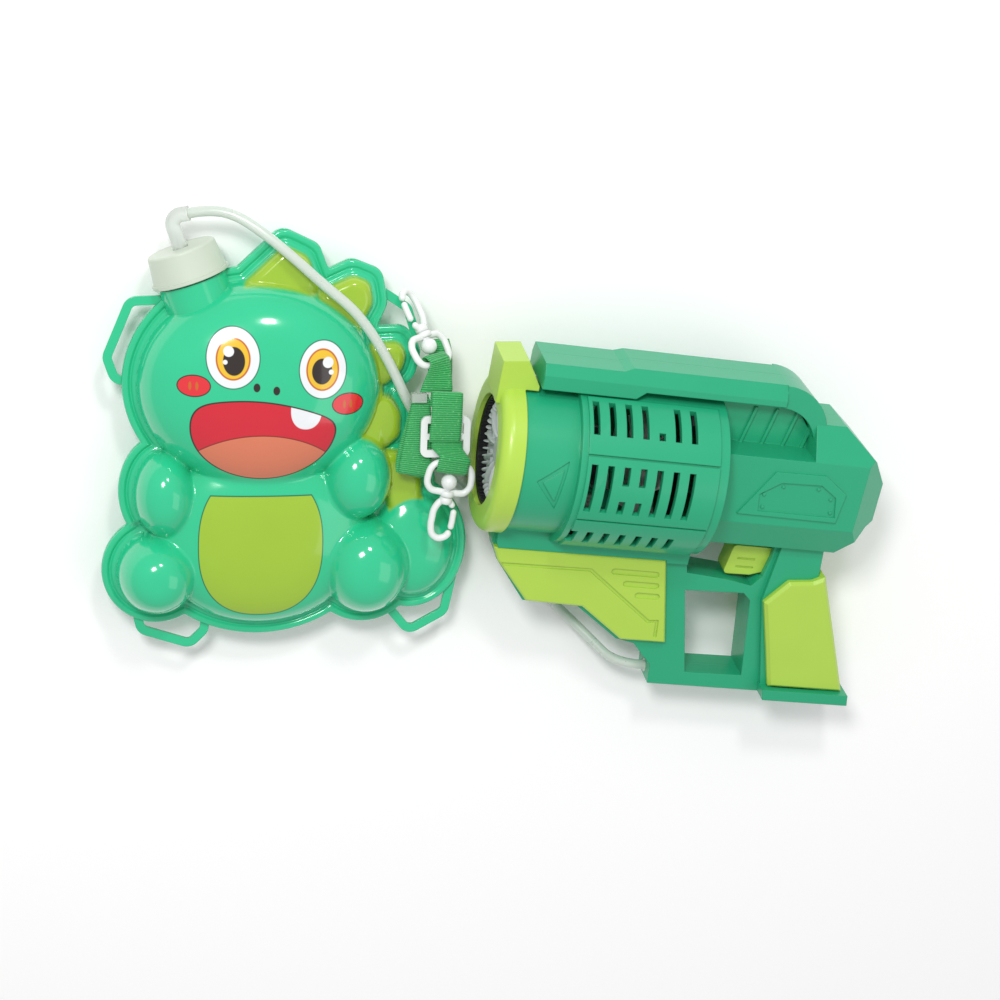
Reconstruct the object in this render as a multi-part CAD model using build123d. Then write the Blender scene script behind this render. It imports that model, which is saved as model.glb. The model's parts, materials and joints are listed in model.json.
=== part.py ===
"""Bubble machine: a dinosaur-shaped solution tank, its hose, a battery bubble gun and a carrying strap.

All lengths are millimetres. The set lies flat: +X runs from the tank to the back of the gun, +Y runs
towards the top of the tank and of the gun, +Z points up from the table, which is the plane Z = 0.
The tank lies on its flat back. The gun lies on its right side, so its own left side looks up.
"""

from build123d import *
import math
import os

# ---- driving dimensions -------------------------------------------------------------------------
CLEAR = 0.3                    # gap between parts that move past each other
RUNNING = 0.05                 # radial clearance of a shaft in its hole

# Where the three groups stand in the common frame.
SET_AT = (0.46, 5.35)          # brings the middle of the whole set to the origin
TANK_AT = (-117.0, 11.5)       # a point in the middle of the tank
GUN_AT = (-10.5, 9.25, 43.2)   # middle of the gun's muzzle face
GUN_YAW = 6.0                  # muzzle end of the barrel swung towards +Y, degrees
GUN_ROLL = 11.3                # roll about the barrel, until the butt of the grip touches the table

# Tank.
SEAM_Z = 19.0                  # height of the welded seam between the two tank shells
TANK_WALL = 2.2
FLANGE_T = 2.5                 # thickness of each shell's flange
LOOP_T = 4.0                   # thickness of the strap loops at the edge of the flange
FLANGE_GROW = 8.6              # how far the flange stands out from the body of the tank
HEAD_TOP = 50.0                # height of the front of the head
NECK_R = 15.0                  # outside of the filler neck
NECK_BORE = 12.5
CAP_R = 18.2
CAP_H = 15.0
CAP_WALL = 2.4
SPIGOT_R = 3.6                 # outlet fitting that passes through the cap
THREAD_PITCH = 3.0
CAP_TURNS = 1.5

# Hose.
HOSE_D = 5.0
HANK_H = 10.6                  # two layers of hose
HOSE_WAY = (9.0, 2.0, 2.5)     # the way the outlet fitting points

# Strap.
WEB_W = 15.5                   # webbing width
WEB_T = 1.3
RING_T = 3.4                   # section of the moulded hooks

# Gun, in its own frame: x runs back from the muzzle face, y up, z out of its left side.
RING_R = 40.0
MOUTH_R = 27.5
RING_DEPTH = 11.3
BARREL_R = 38.0
DRUM_R = 42.0
PLATE_R = 43.2
SHELL_WALL = 2.2
DRUM_FRONT = 38.0
DRUM_BACK = 112.0
SLOT_W = 3.2
SLOT_PITCH = 8.15
SLOT_FIRST = 44.6
SLOT_COUNT = 7
BODY_HALF = 25.0               # half width of the rear body
FRAME_HALF = 10.0              # half width of the lower frame
PANEL_FACE = 14.0              # outer face of the lime foregrip panels
GRIP_FACE = 17.0               # outer face of the lime grip covers
BUTT_Y = -119.0                # lowest plane of the grip
BUTT_HALF = 19.5
WHEEL_X = 7.5                  # front of the bubble wheel
WHEEL_R = 25.5
SHAFT_R = 2.0
GEAR_X = 31.0
GEAR_T = 4.0
GEAR_MODULE = 0.8
WHEEL_TEETH = 56
PINION_TEETH = 14
BULKHEAD_X = 36.5
BULKHEAD_T = 3.0
PUMP_X = 40.5
PUMP_L = 13.0
FAN_X = 74.0
FAN_L = 16.0
FAN_R = 29.0
BATTERY_R = 7.25               # AA cell
BATTERY_L = 50.5
TRIGGER_TRAVEL = 4.0

GUN = Pos(*GUN_AT) * Rot(0, 0, -GUN_YAW) * Rot(GUN_ROLL, 0, 0)
TANK = Pos(TANK_AT[0], TANK_AT[1], 0)
SET = Pos(SET_AT[0], SET_AT[1], 0)

os.makedirs("parts", exist_ok=True)


# ---- small tools --------------------------------------------------------------------------------
def save(name, shape):
    """Write one node, or one group of separate solids, as a STEP file."""
    solids = ShapeList((SET * shape).solids())
    body = solids[0] if len(solids) == 1 else Compound(children=list(solids))
    export_step(body, f"parts/{name}.step")


def plate(points, low, high):
    """A closed outline in the XY plane, as thick as low to high along Z."""
    outline = make_face(Polyline(*points, close=True))
    return Pos(0, 0, low) * extrude(outline, amount=high - low)


def slab(points, half):
    """A closed outline in the XY plane, spread evenly to both sides of Z = 0."""
    return plate(points, -half, half)


def xcyl(radius, start, end, y=0.0, z=0.0):
    """A round bar along X from start to end."""
    return Pos((start + end) / 2, y, z) * Rot(0, 90, 0) * Cylinder(radius, end - start)


def zcyl(radius, low, high, x=0.0, y=0.0):
    """A round bar along Z from low to high."""
    return Pos(x, y, (low + high) / 2) * Cylinder(radius, high - low)


def bar(start, end, radius):
    """A round bar between two points."""
    a, b = Vector(*start), Vector(*end)
    return Plane(origin=a, z_dir=b - a) * extrude(Circle(radius), amount=(b - a).length)


def box(low, high):
    """A box from its lowest to its highest corner."""
    size = [h - l for l, h in zip(low, high)]
    middle = [(h + l) / 2 for l, h in zip(low, high)]
    return Pos(*middle) * Box(*size)


def sector(inner, outer, start_angle, end_angle, start, end):
    """Part of a ring about the X axis. Angles count from +Z towards +Y, in degrees."""
    steps = 6
    turn = [start_angle + (end_angle - start_angle) * k / steps for k in range(steps + 1)]
    reach = outer * 1.3
    fan = [(0.0, 0.0)] + [(reach * math.sin(math.radians(a)), reach * math.cos(math.radians(a))) for a in turn]
    wedge = extrude(Plane.YZ * make_face(Polyline(*fan, close=True)), amount=end - start)
    ring = xcyl(outer, start, end) - xcyl(inner, start - 1, end + 1)
    return (Pos(start, 0, 0) * wedge) & ring


def arc_radii(points):
    """The arc at each corner of a route: 0.45 of the shorter run over the tangent of half the turn."""
    radii = []
    for before, corner, after in zip(points, points[1:], points[2:]):
        run_in = Vector(*corner) - Vector(*before)
        run_out = Vector(*after) - Vector(*corner)
        half_turn = math.radians(run_in.get_angle(run_out) / 2)
        radii.append(0.45 * min(run_in.length, run_out.length) / math.tan(half_turn))
    return radii


def tube(points, diameter, bore=0.0):
    """A round tube along straight runs joined by tangent arcs."""
    path = FilletPolyline(*points, radius=arc_radii(points))
    section = Circle(diameter / 2)
    if bore:
        section -= Circle(bore / 2)
    return sweep(Plane(path @ 0, z_dir=path % 0) * section, path=path), path


def coil_spring(wire, radius, length, turns):
    """A compression spring along Z."""
    path = Helix(pitch=length / turns, height=length, radius=radius)
    return sweep(Plane(path @ 0, z_dir=path % 0) * Circle(wire / 2), path=path)


# ---- tank ---------------------------------------------------------------------------------------
# Each lobe of the animal is a pillow: centre x, y, half widths x, y, height of its top, edge rounding.
LOBES = {
    "head": (-1.0, 25.5, 57.0, 49.0, HEAD_TOP, 17.0),
    "left_arm": (-46.5, -28.0, 13.5, 20.0, 44.0, 9.0),
    "right_arm": (46.5, -19.5, 16.0, 20.5, 45.0, 10.0),
    "left_foot": (-50.3, -67.5, 18.0, 18.5, 49.0, 12.0),
    "right_foot": (52.0, -65.0, 20.5, 23.0, 49.0, 13.0),
    "belly": (0.0, -49.0, 52.0, 44.0, 44.0, 11.0),
    "tail": (76.0, -56.0, 19.0, 25.0, 33.0, 8.0),
}
# The spines down the back and the strip that carries them are flat-topped.
SPINES = {
    "spine_1": [(-12, 72), (10, 93), (21, 88), (28, 70)],
    "spine_2": [(24, 70), (43, 79), (51, 76), (53, 66), (45, 50)],
    "spine_3": [(48, 46), (66, 47), (70, 41), (68, 33), (58, 24)],
    "spine_4": [(54, 22), (63, 20), (68, 12), (68, 0), (58, -8)],
    "spine_5": [(56, -6), (70, -8), (79, -20), (80, -38), (64, -40)],
    "strip": [(44, 52), (56, 40), (61, 10), (60, -30), (40, -30), (40, 50)],
}
SPINE_TOP = 28.0


def lobe_pillow(lobe, grow, base):
    """An elliptical pillow with a rounded top edge, standing on the plane Z = base."""
    x, y, half_x, half_y, top, rounding = lobe
    height = top + min(grow, 0.0) - base
    body = extrude(Ellipse(half_x + grow, half_y + grow), amount=height)
    body = fillet(body.faces().sort_by(Axis.Z)[-1].edges(), min(rounding + min(grow, 0), height - 2))
    return Pos(x, y, base) * body


def spine_plate(points, grow, low, high):
    """One flat-topped spine, grown or shrunk evenly all round."""
    outline = make_face(Polyline(*points, close=True))
    if grow:
        outline = offset(outline, grow, kind=Kind.ARC if grow > 0 else Kind.INTERSECTION)
    return Pos(0, 0, low) * extrude(outline, amount=high - low)


def tank_prism(grow, low, high):
    """The whole outline of the animal as a flat prism."""
    prism = None
    for x, y, half_x, half_y, top, rounding in LOBES.values():
        piece = Pos(x, y, low) * extrude(Ellipse(half_x + grow, half_y + grow), amount=high - low)
        prism = piece if prism is None else prism + piece
    for points in SPINES.values():
        prism += spine_plate(points, min(grow, 7.6), low, high)
    return prism


def tank_dome(grow, base):
    """The front of the animal: every lobe's pillow and the flat spines."""
    dome = None
    for lobe in LOBES.values():
        piece = lobe_pillow(lobe, grow, base)
        dome = piece if dome is None else dome + piece
    for points in SPINES.values():
        dome += spine_plate(points, grow, base, SPINE_TOP + min(grow, 0))
    return dome


# The filler neck leaves the top left of the head along the seam.
NECK_AT = (-36.3, 83.8)
NECK_TURN = 19.6               # degrees to the left of +Y
NECK = Pos(NECK_AT[0], NECK_AT[1], SEAM_Z) * Rot(0, 0, NECK_TURN) * Rot(-90, 0, 0)


def neck_bar(radius, low, high):
    """A round bar on the neck's axis, whose zero is the middle of the cap."""
    return NECK * zcyl(radius, low, high)


CAP_LOW, CAP_HIGH = -CAP_H / 2, CAP_H / 2
NECK_BOTTOM = -32.0
MOUTH_TOP = CAP_HIGH - CAP_WALL - 2.4
SHOULDER_R = 16.6


def strap_loop(points, width=4.4):
    """A flat loop for a strap hook, a bar bent round an opening at the edge of the flange."""
    path = FilletPolyline(*[(x, y, SEAM_Z) for x, y in points], radius=5.0)
    section = Plane(path @ 0, z_dir=path % 0) * Rectangle(width, LOOP_T)
    return sweep(section, path=path)


LOOPS = {
    "upper_left": [(-42, 66), (-62.5, 65), (-73.5, 38), (-69.5, 26.5), (-52, 28)],
    "upper_right": [(44, 74), (57, 71.5), (70.5, 63), (75, 50), (64, 40)],
    "lower_right": [(88, -62), (98, -72), (94, -93), (76, -103), (62, -86)],
    "lower_left": [(-62, -80), (-58, -99), (-34, -107), (-27, -100), (-26, -86)],
}


def build_tank():
    """Two welded shells with strap loops, the neck, its cap, the outlet fitting and the dip tube."""
    neck_hole = neck_bar(SHOULDER_R, NECK_BOTTOM, CAP_HIGH)
    loops = None
    for points in LOOPS.values():
        loop = strap_loop(points)
        loops = loop if loops is None else loops + loop
    flange_back = tank_prism(FLANGE_GROW, SEAM_Z - FLANGE_T, SEAM_Z)
    back = tank_prism(0.0, 0.0, SEAM_Z) + flange_back
    back -= tank_prism(-TANK_WALL, TANK_WALL, SEAM_Z + 1)
    below_seam = box((-200, -200, 0), (200, 200, SEAM_Z))
    rear_loops = (loops & below_seam) - tank_prism(-TANK_WALL, 0, SEAM_Z + 1)
    back = (back + rear_loops) - neck_hole
    front = tank_dome(0.0, SEAM_Z) + tank_prism(FLANGE_GROW, SEAM_Z, SEAM_Z + FLANGE_T)
    front -= tank_dome(-TANK_WALL, SEAM_Z - 1)
    above_seam = box((-200, -200, SEAM_Z), (200, 200, 80))
    front_loops = (loops & above_seam) - tank_prism(-TANK_WALL, 0, SEAM_Z + 40)
    front = (front + front_loops) - neck_hole
    save("tank_rear_shell", TANK * back)
    save("tank_front_shell", TANK * front)

    neck = neck_bar(SHOULDER_R, NECK_BOTTOM, CAP_LOW - 1.0) + neck_bar(NECK_R, CAP_LOW - 1.5, MOUTH_TOP)
    for thread_at in (-5.0, -2.0, 1.0):
        neck += neck_bar(NECK_R + 0.5, thread_at, thread_at + 1.0)
    neck -= neck_bar(NECK_BORE, NECK_BOTTOM - 1, CAP_HIGH + 1)
    save("filler_neck", TANK * neck)

    cap = NECK * (Pos(0, 0, 0) * Cone(CAP_R, CAP_R - 1.8, CAP_H))
    cap = fillet(cap.edges().sort_by(lambda e: (NECK.inverse() * e).center().Z)[-1:], 1.2)
    cap -= neck_bar(NECK_R + 0.9, CAP_LOW - 1, CAP_HIGH - CAP_WALL)
    cap -= neck_bar(SPIGOT_R + CLEAR, 0, CAP_HIGH + 1)
    rim = neck_bar(CAP_R + 0.7, CAP_LOW, CAP_LOW + 1.6) - neck_bar(CAP_R - 1.0, CAP_LOW - 1, CAP_HIGH)
    save("tank_cap", TANK * (cap + rim))

    washer = neck_bar(NECK_R - 0.5, MOUTH_TOP + 1.0, CAP_HIGH - CAP_WALL - 0.1)
    washer -= neck_bar(SPIGOT_R + CLEAR, 0, CAP_HIGH)
    save("cap_washer", TANK * washer)

    # The outlet fitting rests in the mouth, goes up through the cap and turns towards the gun.
    elbow_top = CAP_HIGH + 15.5
    rise = NECK * Pos(0, 0, elbow_top)
    corner = rise.position
    outlet = (corner.X + HOSE_WAY[0], corner.Y + HOSE_WAY[1], corner.Z + HOSE_WAY[2])
    plug = neck_bar(NECK_BORE, MOUTH_TOP - 6.0, MOUTH_TOP)
    plug += neck_bar(NECK_BORE + 1.8, MOUTH_TOP, MOUTH_TOP + 0.9)
    foot = NECK * Pos(0, 0, MOUTH_TOP)
    path = FilletPolyline(tuple(foot.position), tuple(corner), outlet, radius=5.0)
    pipe = sweep(Plane(path @ 0, z_dir=path % 0) * Circle(SPIGOT_R), path=path)
    save("cap_fitting", TANK * (plug + pipe))

    low = NECK * Pos(0, 0, -150.0)
    high = NECK * Pos(0, 0, MOUTH_TOP - 6.0)
    dip = bar(tuple(low.position), tuple(high.position), HOSE_D / 2)
    save("dip_tube", TANK * dip)
    end = NECK * Pos(0, 0, -158.0)
    strainer = bar(tuple(end.position), tuple(low.position), 4.5)
    save("dip_strainer", TANK * strainer)
    return (TANK * Pos(*outlet)).position


# ---- gun ----------------------------------------------------------------------------------------
REAR_SIDE = [(104, -31), (186, -31), (199, -15), (203.5, -13), (203.5, 8), (193, 23), (176, 37),
             (160, 37), (160, 21), (104, 21)]
FRAME_SIDE = [(11, -34), (11, -45), (13, -49), (14.5, -54), (32, -76), (61, -77), (85, -94), (95, -96),
              (106.5, -108), (107.5, -119), (172, -119), (166, -90), (159, -62), (160, -30), (120, -30),
              (112, -34)]
TRIGGER_GAP = [(112.5, -25), (112.5, -46), (114.3, -53), (137, -55), (150, -57.5), (154.5, -52),
               (157, -40), (157, -25)]
HAND_GAP = [(115.5, -63), (147, -62), (151.5, -66), (157.5, -110.5), (126.3, -111)]
GRIP_CORE = [(160, -28), (182, -28), (183.5, -47), (197, -80), (209.5, -112), (208, -118), (169, -118),
             (163, -92), (156.5, -64)]
GRIP_COVER = [(156.8, -63.5), (167.4, -50.6), (180, -49.3), (186, -46), (200.4, -82), (212.5, -112.5),
              (171, -112.5), (165.5, -93)]
BUTT_SIDE = [(167, -113), (215, -113), (216, BUTT_Y), (168.5, BUTT_Y)]
FOREGRIP_PANEL = [(11.3, -46.0), (100.5, -45.2), (110.5, -92.5), (86.4, -92.5), (62.6, -75.3),
                  (32.9, -74.6), (14.3, -53.0)]
RAIL_SIDE = [(18.3, 41), (65, 41), (69.5, 44.7), (141, 44.7), (141, 55.2), (62, 55.2), (57.5, 53.4),
             (18.3, 53.4)]
RAIL_END = [(-16.5, 30), (16.5, 30), (16.5, 48), (12.5, 56), (-12.5, 56), (-16.5, 48)]
SIDE_PAD = [(125.9, -9.9), (178.3, -10.4), (180, 5.5), (167.2, 14.6), (141, 14.3), (139, 11)]
SIDE_HEX = [(136.3, -7.6), (135, 1.6), (145.1, 8.6), (166, 9.2), (175, 3.2), (177, -7.6)]
BLOCK_SIDE = [(-1.9, 30), (-1.9, 51.5), (10.6, 53), (17.8, 40.6), (17.8, 33.5), (10.0, 33.5), (10.0, 30)]
# The vent bands round the drum: first and last angle of each raised plate, first and last of its slots.
BANDS = {
    "upper": ((27.2, 68.0), (40.0, 64.0), 0.0),
    "middle": ((-18.0, 25.8), (-11.5, 20.8), 0.6),
    "lower": ((-62.0, -19.6), (-45.5, -30.3), 4.0),
}


def prism_x(points, start, end):
    """A closed outline given as (z, y) pairs, carried along X from start to end."""
    outline = make_face(Polyline(*[(y, z) for z, y in points], close=True))
    return Pos(start, 0, 0) * extrude(Plane.YZ * outline, amount=end - start)


def mirrored(shape):
    """The same shape on both sides of the gun's middle plane."""
    return shape + mirror(shape, about=Plane.XY)


def rear_body(inset):
    """The tail of the housing: an eight-sided bar cut by its side outline and its end bevels."""
    wide, narrow = BODY_HALF - inset, 14.0 - inset
    section = [(wide, -15), (wide, 21), (narrow, 37 - inset), (-narrow, 37 - inset), (-wide, 21),
               (-wide, -15), (-17 + inset, -31 + inset), (17 - inset, -31 + inset)]
    bar_along = prism_x(section, 104 + inset, 204 - inset)
    side = slab(REAR_SIDE, 40) if not inset else slab(
        [(106, -29), (185, -29), (197, -14), (201, -12), (201, 7), (191.5, 19), (106, 19)], 40)
    end = [(104, -40), (189, -40), (189, -25), (203.6, -13), (203.6, 13), (189, 25), (189, 40), (104, 40)]
    top = Rot(90, 0, 0) * slab([(x - inset if x > 150 else x, z) for x, z in end], 60)
    return bar_along & side & top


def top_rail():
    """The sighting rail over the drum, its rounded back arch and the ribbed web under it."""
    rail = slab(RAIL_SIDE, 16.5) & prism_x(RAIL_END, 18, 142)
    arch = zcyl(26.2, -14.5, 14.5, 140, 29) - zcyl(21.0, -20, 20, 140, 22.5)
    arch &= box((140.5, 21, -20), (170, 60, 20))
    arch += box((161.0, 20, -14.5), (166.2, 30, 14.5))
    web = plate([(110, 20), (162, 20), (160, 30), (152, 40), (140, 46), (110, 46)], -7, 7)
    for x in (121, 132, 143, 153):
        web += Pos(x, 0, 0) * Rot(0, 0, -12) * box((-0.8, 21, -8.2), (0.8, 41, 8.2))
    return rail + arch + web


def drum_plates():
    """The raised plates that carry the vent slots, on both sides."""
    plates = None
    for plate_span, slot_span, slant in BANDS.values():
        piece = sector(DRUM_R - 1, PLATE_R, plate_span[0], plate_span[1], 41.0, 107.0)
        plates = piece if plates is None else plates + piece
    return mirrored(plates)


def vent_slots():
    """Seven round-ended slots in each band. A few are left half closed, as the moulding has them."""
    slots = []
    for name, (plate_span, (low, high), slant) in BANDS.items():
        for index in range(SLOT_COUNT):
            x = SLOT_FIRST + index * SLOT_PITCH
            spans = [(low, high)]
            if name == "upper" and index == 4:
                spans = [(low, low + 5.0)]
            if name == "middle" and index in (2, 3):
                spans = [(low, low + 9.5), (high - 12.0, high)]
            for span_low, span_high in spans:
                slot = sector(37.0, 46.0, span_low, span_high, x - SLOT_W / 2, x + SLOT_W / 2)
                if slant > 1:
                    slot = sector(37.0, 46.0, span_low, span_high, -SLOT_W / 2, SLOT_W / 2)
                    slot = Pos(x - slant / 2, 0, 0) * slot
                slots.append(slot)
    return slots


def gun_outside():
    """The outer form of the whole housing."""
    form = xcyl(BARREL_R, RING_DEPTH + 0.2, DRUM_FRONT + 1) + xcyl(DRUM_R, DRUM_FRONT, DRUM_BACK)
    form += drum_plates()
    form += rear_body(0.0)
    form += top_rail()
    form += slab([(8 + RING_DEPTH - 7.8, -30), (12, -43), (14, -48), (112, -46.5), (112, -30)], 14.0)
    form += slab(FRAME_SIDE, FRAME_HALF)
    form += slab(GRIP_CORE, 13.0)
    form += slab(BUTT_SIDE, BUTT_HALF)
    form -= slab(TRIGGER_GAP, 40) & box((100, -60, -40), (160, -31, 40))
    form -= slab(HAND_GAP, 40)
    return form


DOOR_T = 2.4                   # battery door
DOOR_HALF = 16.0
DOOR_PIN = (212.0, -117.8)
DOOR_SCREW = (172.2, -117.5)
BAY_AT = (181.5, -87.0)        # middle of the four cells
BAY_TURN = 17.6                # rake of the grip, degrees
BAY_HALF = 15.3
CELL_SPACING = 14.7
SLOPE = (math.sin(math.radians(BAY_TURN)), -math.cos(math.radians(BAY_TURN)))


def battery_bay(half):
    """The raked space for two rows of two cells, open at the butt."""
    bay = Box(2 * half, BATTERY_L + 6.0, 2 * half)
    return Pos(BAY_AT[0] + 0.5, BAY_AT[1] - 1.5, 0) * Rot(0, 0, BAY_TURN) * bay & box(
        (150, BUTT_Y - 2, -20), (212, -40, 20))


def gun_inside():
    """The space inside the housing, as one tool that is cut from it."""
    space = xcyl(BARREL_R - SHELL_WALL, 5, DRUM_FRONT + 3) + xcyl(DRUM_R - SHELL_WALL, 40.2, 109.8)
    space += rear_body(2.4)
    space += slab([(20, -30), (20, -44), (33, -73), (60, -73), (84, -90), (96, -92.5), (106.5, -106),
                   (109.5, -110), (109.5, -117), (124, -117), (123.5, -108), (113, -62), (111, -50),
                   (104, -40), (104, -30)], 7.8)
    space += slab([(163, -20), (180, -20), (181.3, -47), (190, -66), (164, -66), (161, -50)], 10.8)
    space += battery_bay(BAY_HALF)
    space += box((150, -53, -6.4), (165.6, -34, 6.4))
    space += box((169.6, BUTT_Y - 1, -DOOR_HALF - CLEAR), (212.0, BUTT_Y + DOOR_T + CLEAR, DOOR_HALF + CLEAR))
    space += zcyl(1.6, -DOOR_HALF - CLEAR, DOOR_HALF + CLEAR, *DOOR_PIN)
    space += box((211.0, BUTT_Y - 1, -DOOR_HALF - CLEAR), (213.6, DOOR_PIN[1], DOOR_HALF + CLEAR))
    space += zcyl(0.8, -BUTT_HALF + 1, BUTT_HALF - 1, *DOOR_PIN)
    space += bar((*DOOR_SCREW, 0), (DOOR_SCREW[0], DOOR_SCREW[1] + 5.2, 0), 1.9)
    return space


def side_details():
    """The rear side pads, cut to a recessed plate, and the rivets on it."""
    pad = plate(SIDE_PAD, BODY_HALF - 0.5, BODY_HALF + 0.9) - plate(SIDE_HEX, BODY_HALF + 0.1, BODY_HALF + 2)
    for x, y in ((138.3, -5.2), (137.6, 1.6), (146.5, 6.6), (165.0, 7.0), (172.6, 2.0), (174.2, -5.2)):
        pad += zcyl(0.9, BODY_HALF - 0.5, BODY_HALF + 0.7, x, y)
    return mirrored(pad)


def arrow_grooves():
    """A triangle with the point forwards, engraved on both sides of the front barrel."""
    outer = [(19.0, 2.5), (33.5, 13.5), (30.5, -11.5)]
    inner = [(22.0, 2.3), (31.5, 9.4), (29.4, -7.2)]
    ring = xcyl(BARREL_R + 1, 14, 37) - xcyl(BARREL_R - 0.6, 13, 38)
    groove = (plate(outer, 20, 45) - plate(inner, 20, 45)) & ring
    return mirrored(groove)


# Self-tapping screws on the right side: x, y and the half width of the housing there.
SCREWS = [(104.6, -53, FRAME_HALF), (116, -115, FRAME_HALF), (150, -115, FRAME_HALF), (171, -40, 13.0),
          (30, 46, 16.5), (128, 47, 16.5), (117.5, 4, BODY_HALF), (184.5, -2, BODY_HALF)]
SCREW_HEAD_R = 2.4
SCREW_R = 1.2


def build_gun_shells():
    """The two halves of the housing, parted on the gun's middle plane."""
    shell = gun_outside() - gun_inside()
    for slot in vent_slots():
        shell -= slot
        shell -= mirror(slot, about=Plane.XY)
    shell += side_details()
    shell -= arrow_grooves()
    shell -= xcyl(RING_R + 1.0, -5, RING_DEPTH + 0.2)
    shell -= mirrored(plate(FOREGRIP_PANEL, FRAME_HALF - 1.4, 30))
    shell -= xcyl(INLET_R, INLET_AT[0] - 3, INLET_AT[0] + 4, INLET_AT[1])
    for x, y, half in SCREWS:
        shell -= zcyl(SCREW_HEAD_R + 0.2, -half - 1, -half + 1.2, x, y)
        shell -= zcyl(SCREW_R + 0.05, -half, -half + 9, x, y)
    shell -= slab(GRIP_COVER, 30) - slab(GRIP_CORE, 13.0)
    left = shell & box((-50, -200, 0), (300, 200, 60))
    right = shell & box((-50, -200, -60), (300, 200, 0))
    save("gun_shell_left", GUN * left)
    save("gun_shell_right", GUN * right)


INLET_R = 3.6
INLET_AT = (107.4, -114.0)     # hose inlet, on the front face of the foot
BARB_OUT = 3.0


def build_gun():
    """Everything on the outside of the gun that isn't one of its two shells."""
    ring = xcyl(RING_R, 0, RING_DEPTH)
    ring = fillet(ring.edges().filter_by(GeomType.CIRCLE).sort_by(Axis.X)[0], 5.5)
    ring -= xcyl(MOUTH_R, -1, 3)
    ring -= xcyl(31.0, 2.4, RING_DEPTH + 1)
    block = slab(BLOCK_SIDE, 12.5) - xcyl(31.0, -5, RING_DEPTH + 1)
    block -= xcyl(DRUM_R - 1.8, RING_DEPTH + 0.2, 30)
    save("muzzle_ring", GUN * (ring + block))

    collar = xcyl(30.8, 2.6, RING_DEPTH) - xcyl(26.3, 2, RING_DEPTH + 1)
    teeth = []
    for index in range(60):
        tooth = Rot(index * 6.0, 0, 0) * box((3.2, -0.7, 25.9), (RING_DEPTH, 0.7, 26.6))
        teeth.append(tooth)
    collar = collar + teeth
    save("muzzle_collar", GUN * collar)

    for name, side in (("foregrip_panel_left", 1), ("foregrip_panel_right", -1)):
        panel = plate(FOREGRIP_PANEL, FRAME_HALF - 1.4, PANEL_FACE)
        top = panel.faces().sort_by(Axis.Z)[-1]
        panel = chamfer(top.edges(), 0.9)
        groove = [(16.5, -54.0), (63.0, -53.3), (99.0, -80.0), (104.0, -79.5), (105.0, -89.5),
                  (103.4, -89.5), (102.6, -81.0), (98.4, -81.6), (62.4, -54.9), (17.6, -55.6)]
        panel -= plate(groove, PANEL_FACE - 0.8, PANEL_FACE + 1)
        for y, start, end in ((-53.8, 73.5, 98.5), (-60.2, 81.0, 99.8), (-66.3, 88.5, 101.5)):
            slot = box((start, y - 1.6, PANEL_FACE - 0.9), (end, y + 1.6, PANEL_FACE + 1))
            panel -= fillet(slot.edges().filter_by(Axis.Z), 1.5)
        if side < 0:
            panel = mirror(panel, about=Plane.XY)
        save(name, GUN * panel)

    for name, low, high in (("grip_cover_left", 0.0, 1.0), ("grip_cover_right", -1.0, 0.0)):
        cover = slab(GRIP_COVER, GRIP_FACE)
        cover = chamfer(cover.faces().sort_by(Axis.Z)[-1].edges(), 1.6)
        cover = chamfer(cover.faces().sort_by(Axis.Z)[0].edges(), 1.6)
        cover -= slab(GRIP_CORE, 13.0)
        cover -= slab(HAND_GAP, 30)
        cover -= battery_bay(BAY_HALF)
        cover &= box((100, -200, 60 * low), (300, 0, 60 * high))
        cover -= slab(FRAME_SIDE, FRAME_HALF)
        save(name, GUN * cover)

    trigger_face = [(134.5, -53.5), (137.2, -37.0), (160.0, -37.0), (160.0, -49.5), (149.0, -53.2)]
    trigger = slab(trigger_face, 6.0)
    trigger = fillet(trigger.edges().filter_by(Axis.Z).sort_by(Axis.X)[:2], 2.0)
    for y in (-49.6, -44.8):
        trigger -= mirrored(box((140.5, y, 5.2), (150.0, y + 1.0, 7)))
    save("trigger", GUN * trigger)
    spring = Pos(160.45, -43.0, 0) * Rot(0, 90, 0) * coil_spring(0.6, 2.2, 4.8, 5)
    save("trigger_spring", GUN * spring)
    switch = box((166.0, -49, -4), (172, -36, 4)) + xcyl(1.4, 164.4, 166.1, -47.0)
    save("trigger_switch", GUN * switch)

    screws = []
    for x, y, half in SCREWS:
        head = zcyl(SCREW_HEAD_R, -half + 0.2, -half + 1.2, x, y)
        head -= Pos(x, y, -half + 0.3) * Box(3.2, 0.6, 0.8)
        head -= Pos(x, y, -half + 0.3) * Box(0.6, 3.2, 0.8)
        screws.append(head + zcyl(SCREW_R, -half + 1.2, -half + 7, x, y))
    save("housing_screws", GUN * Compound(children=screws))


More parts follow.
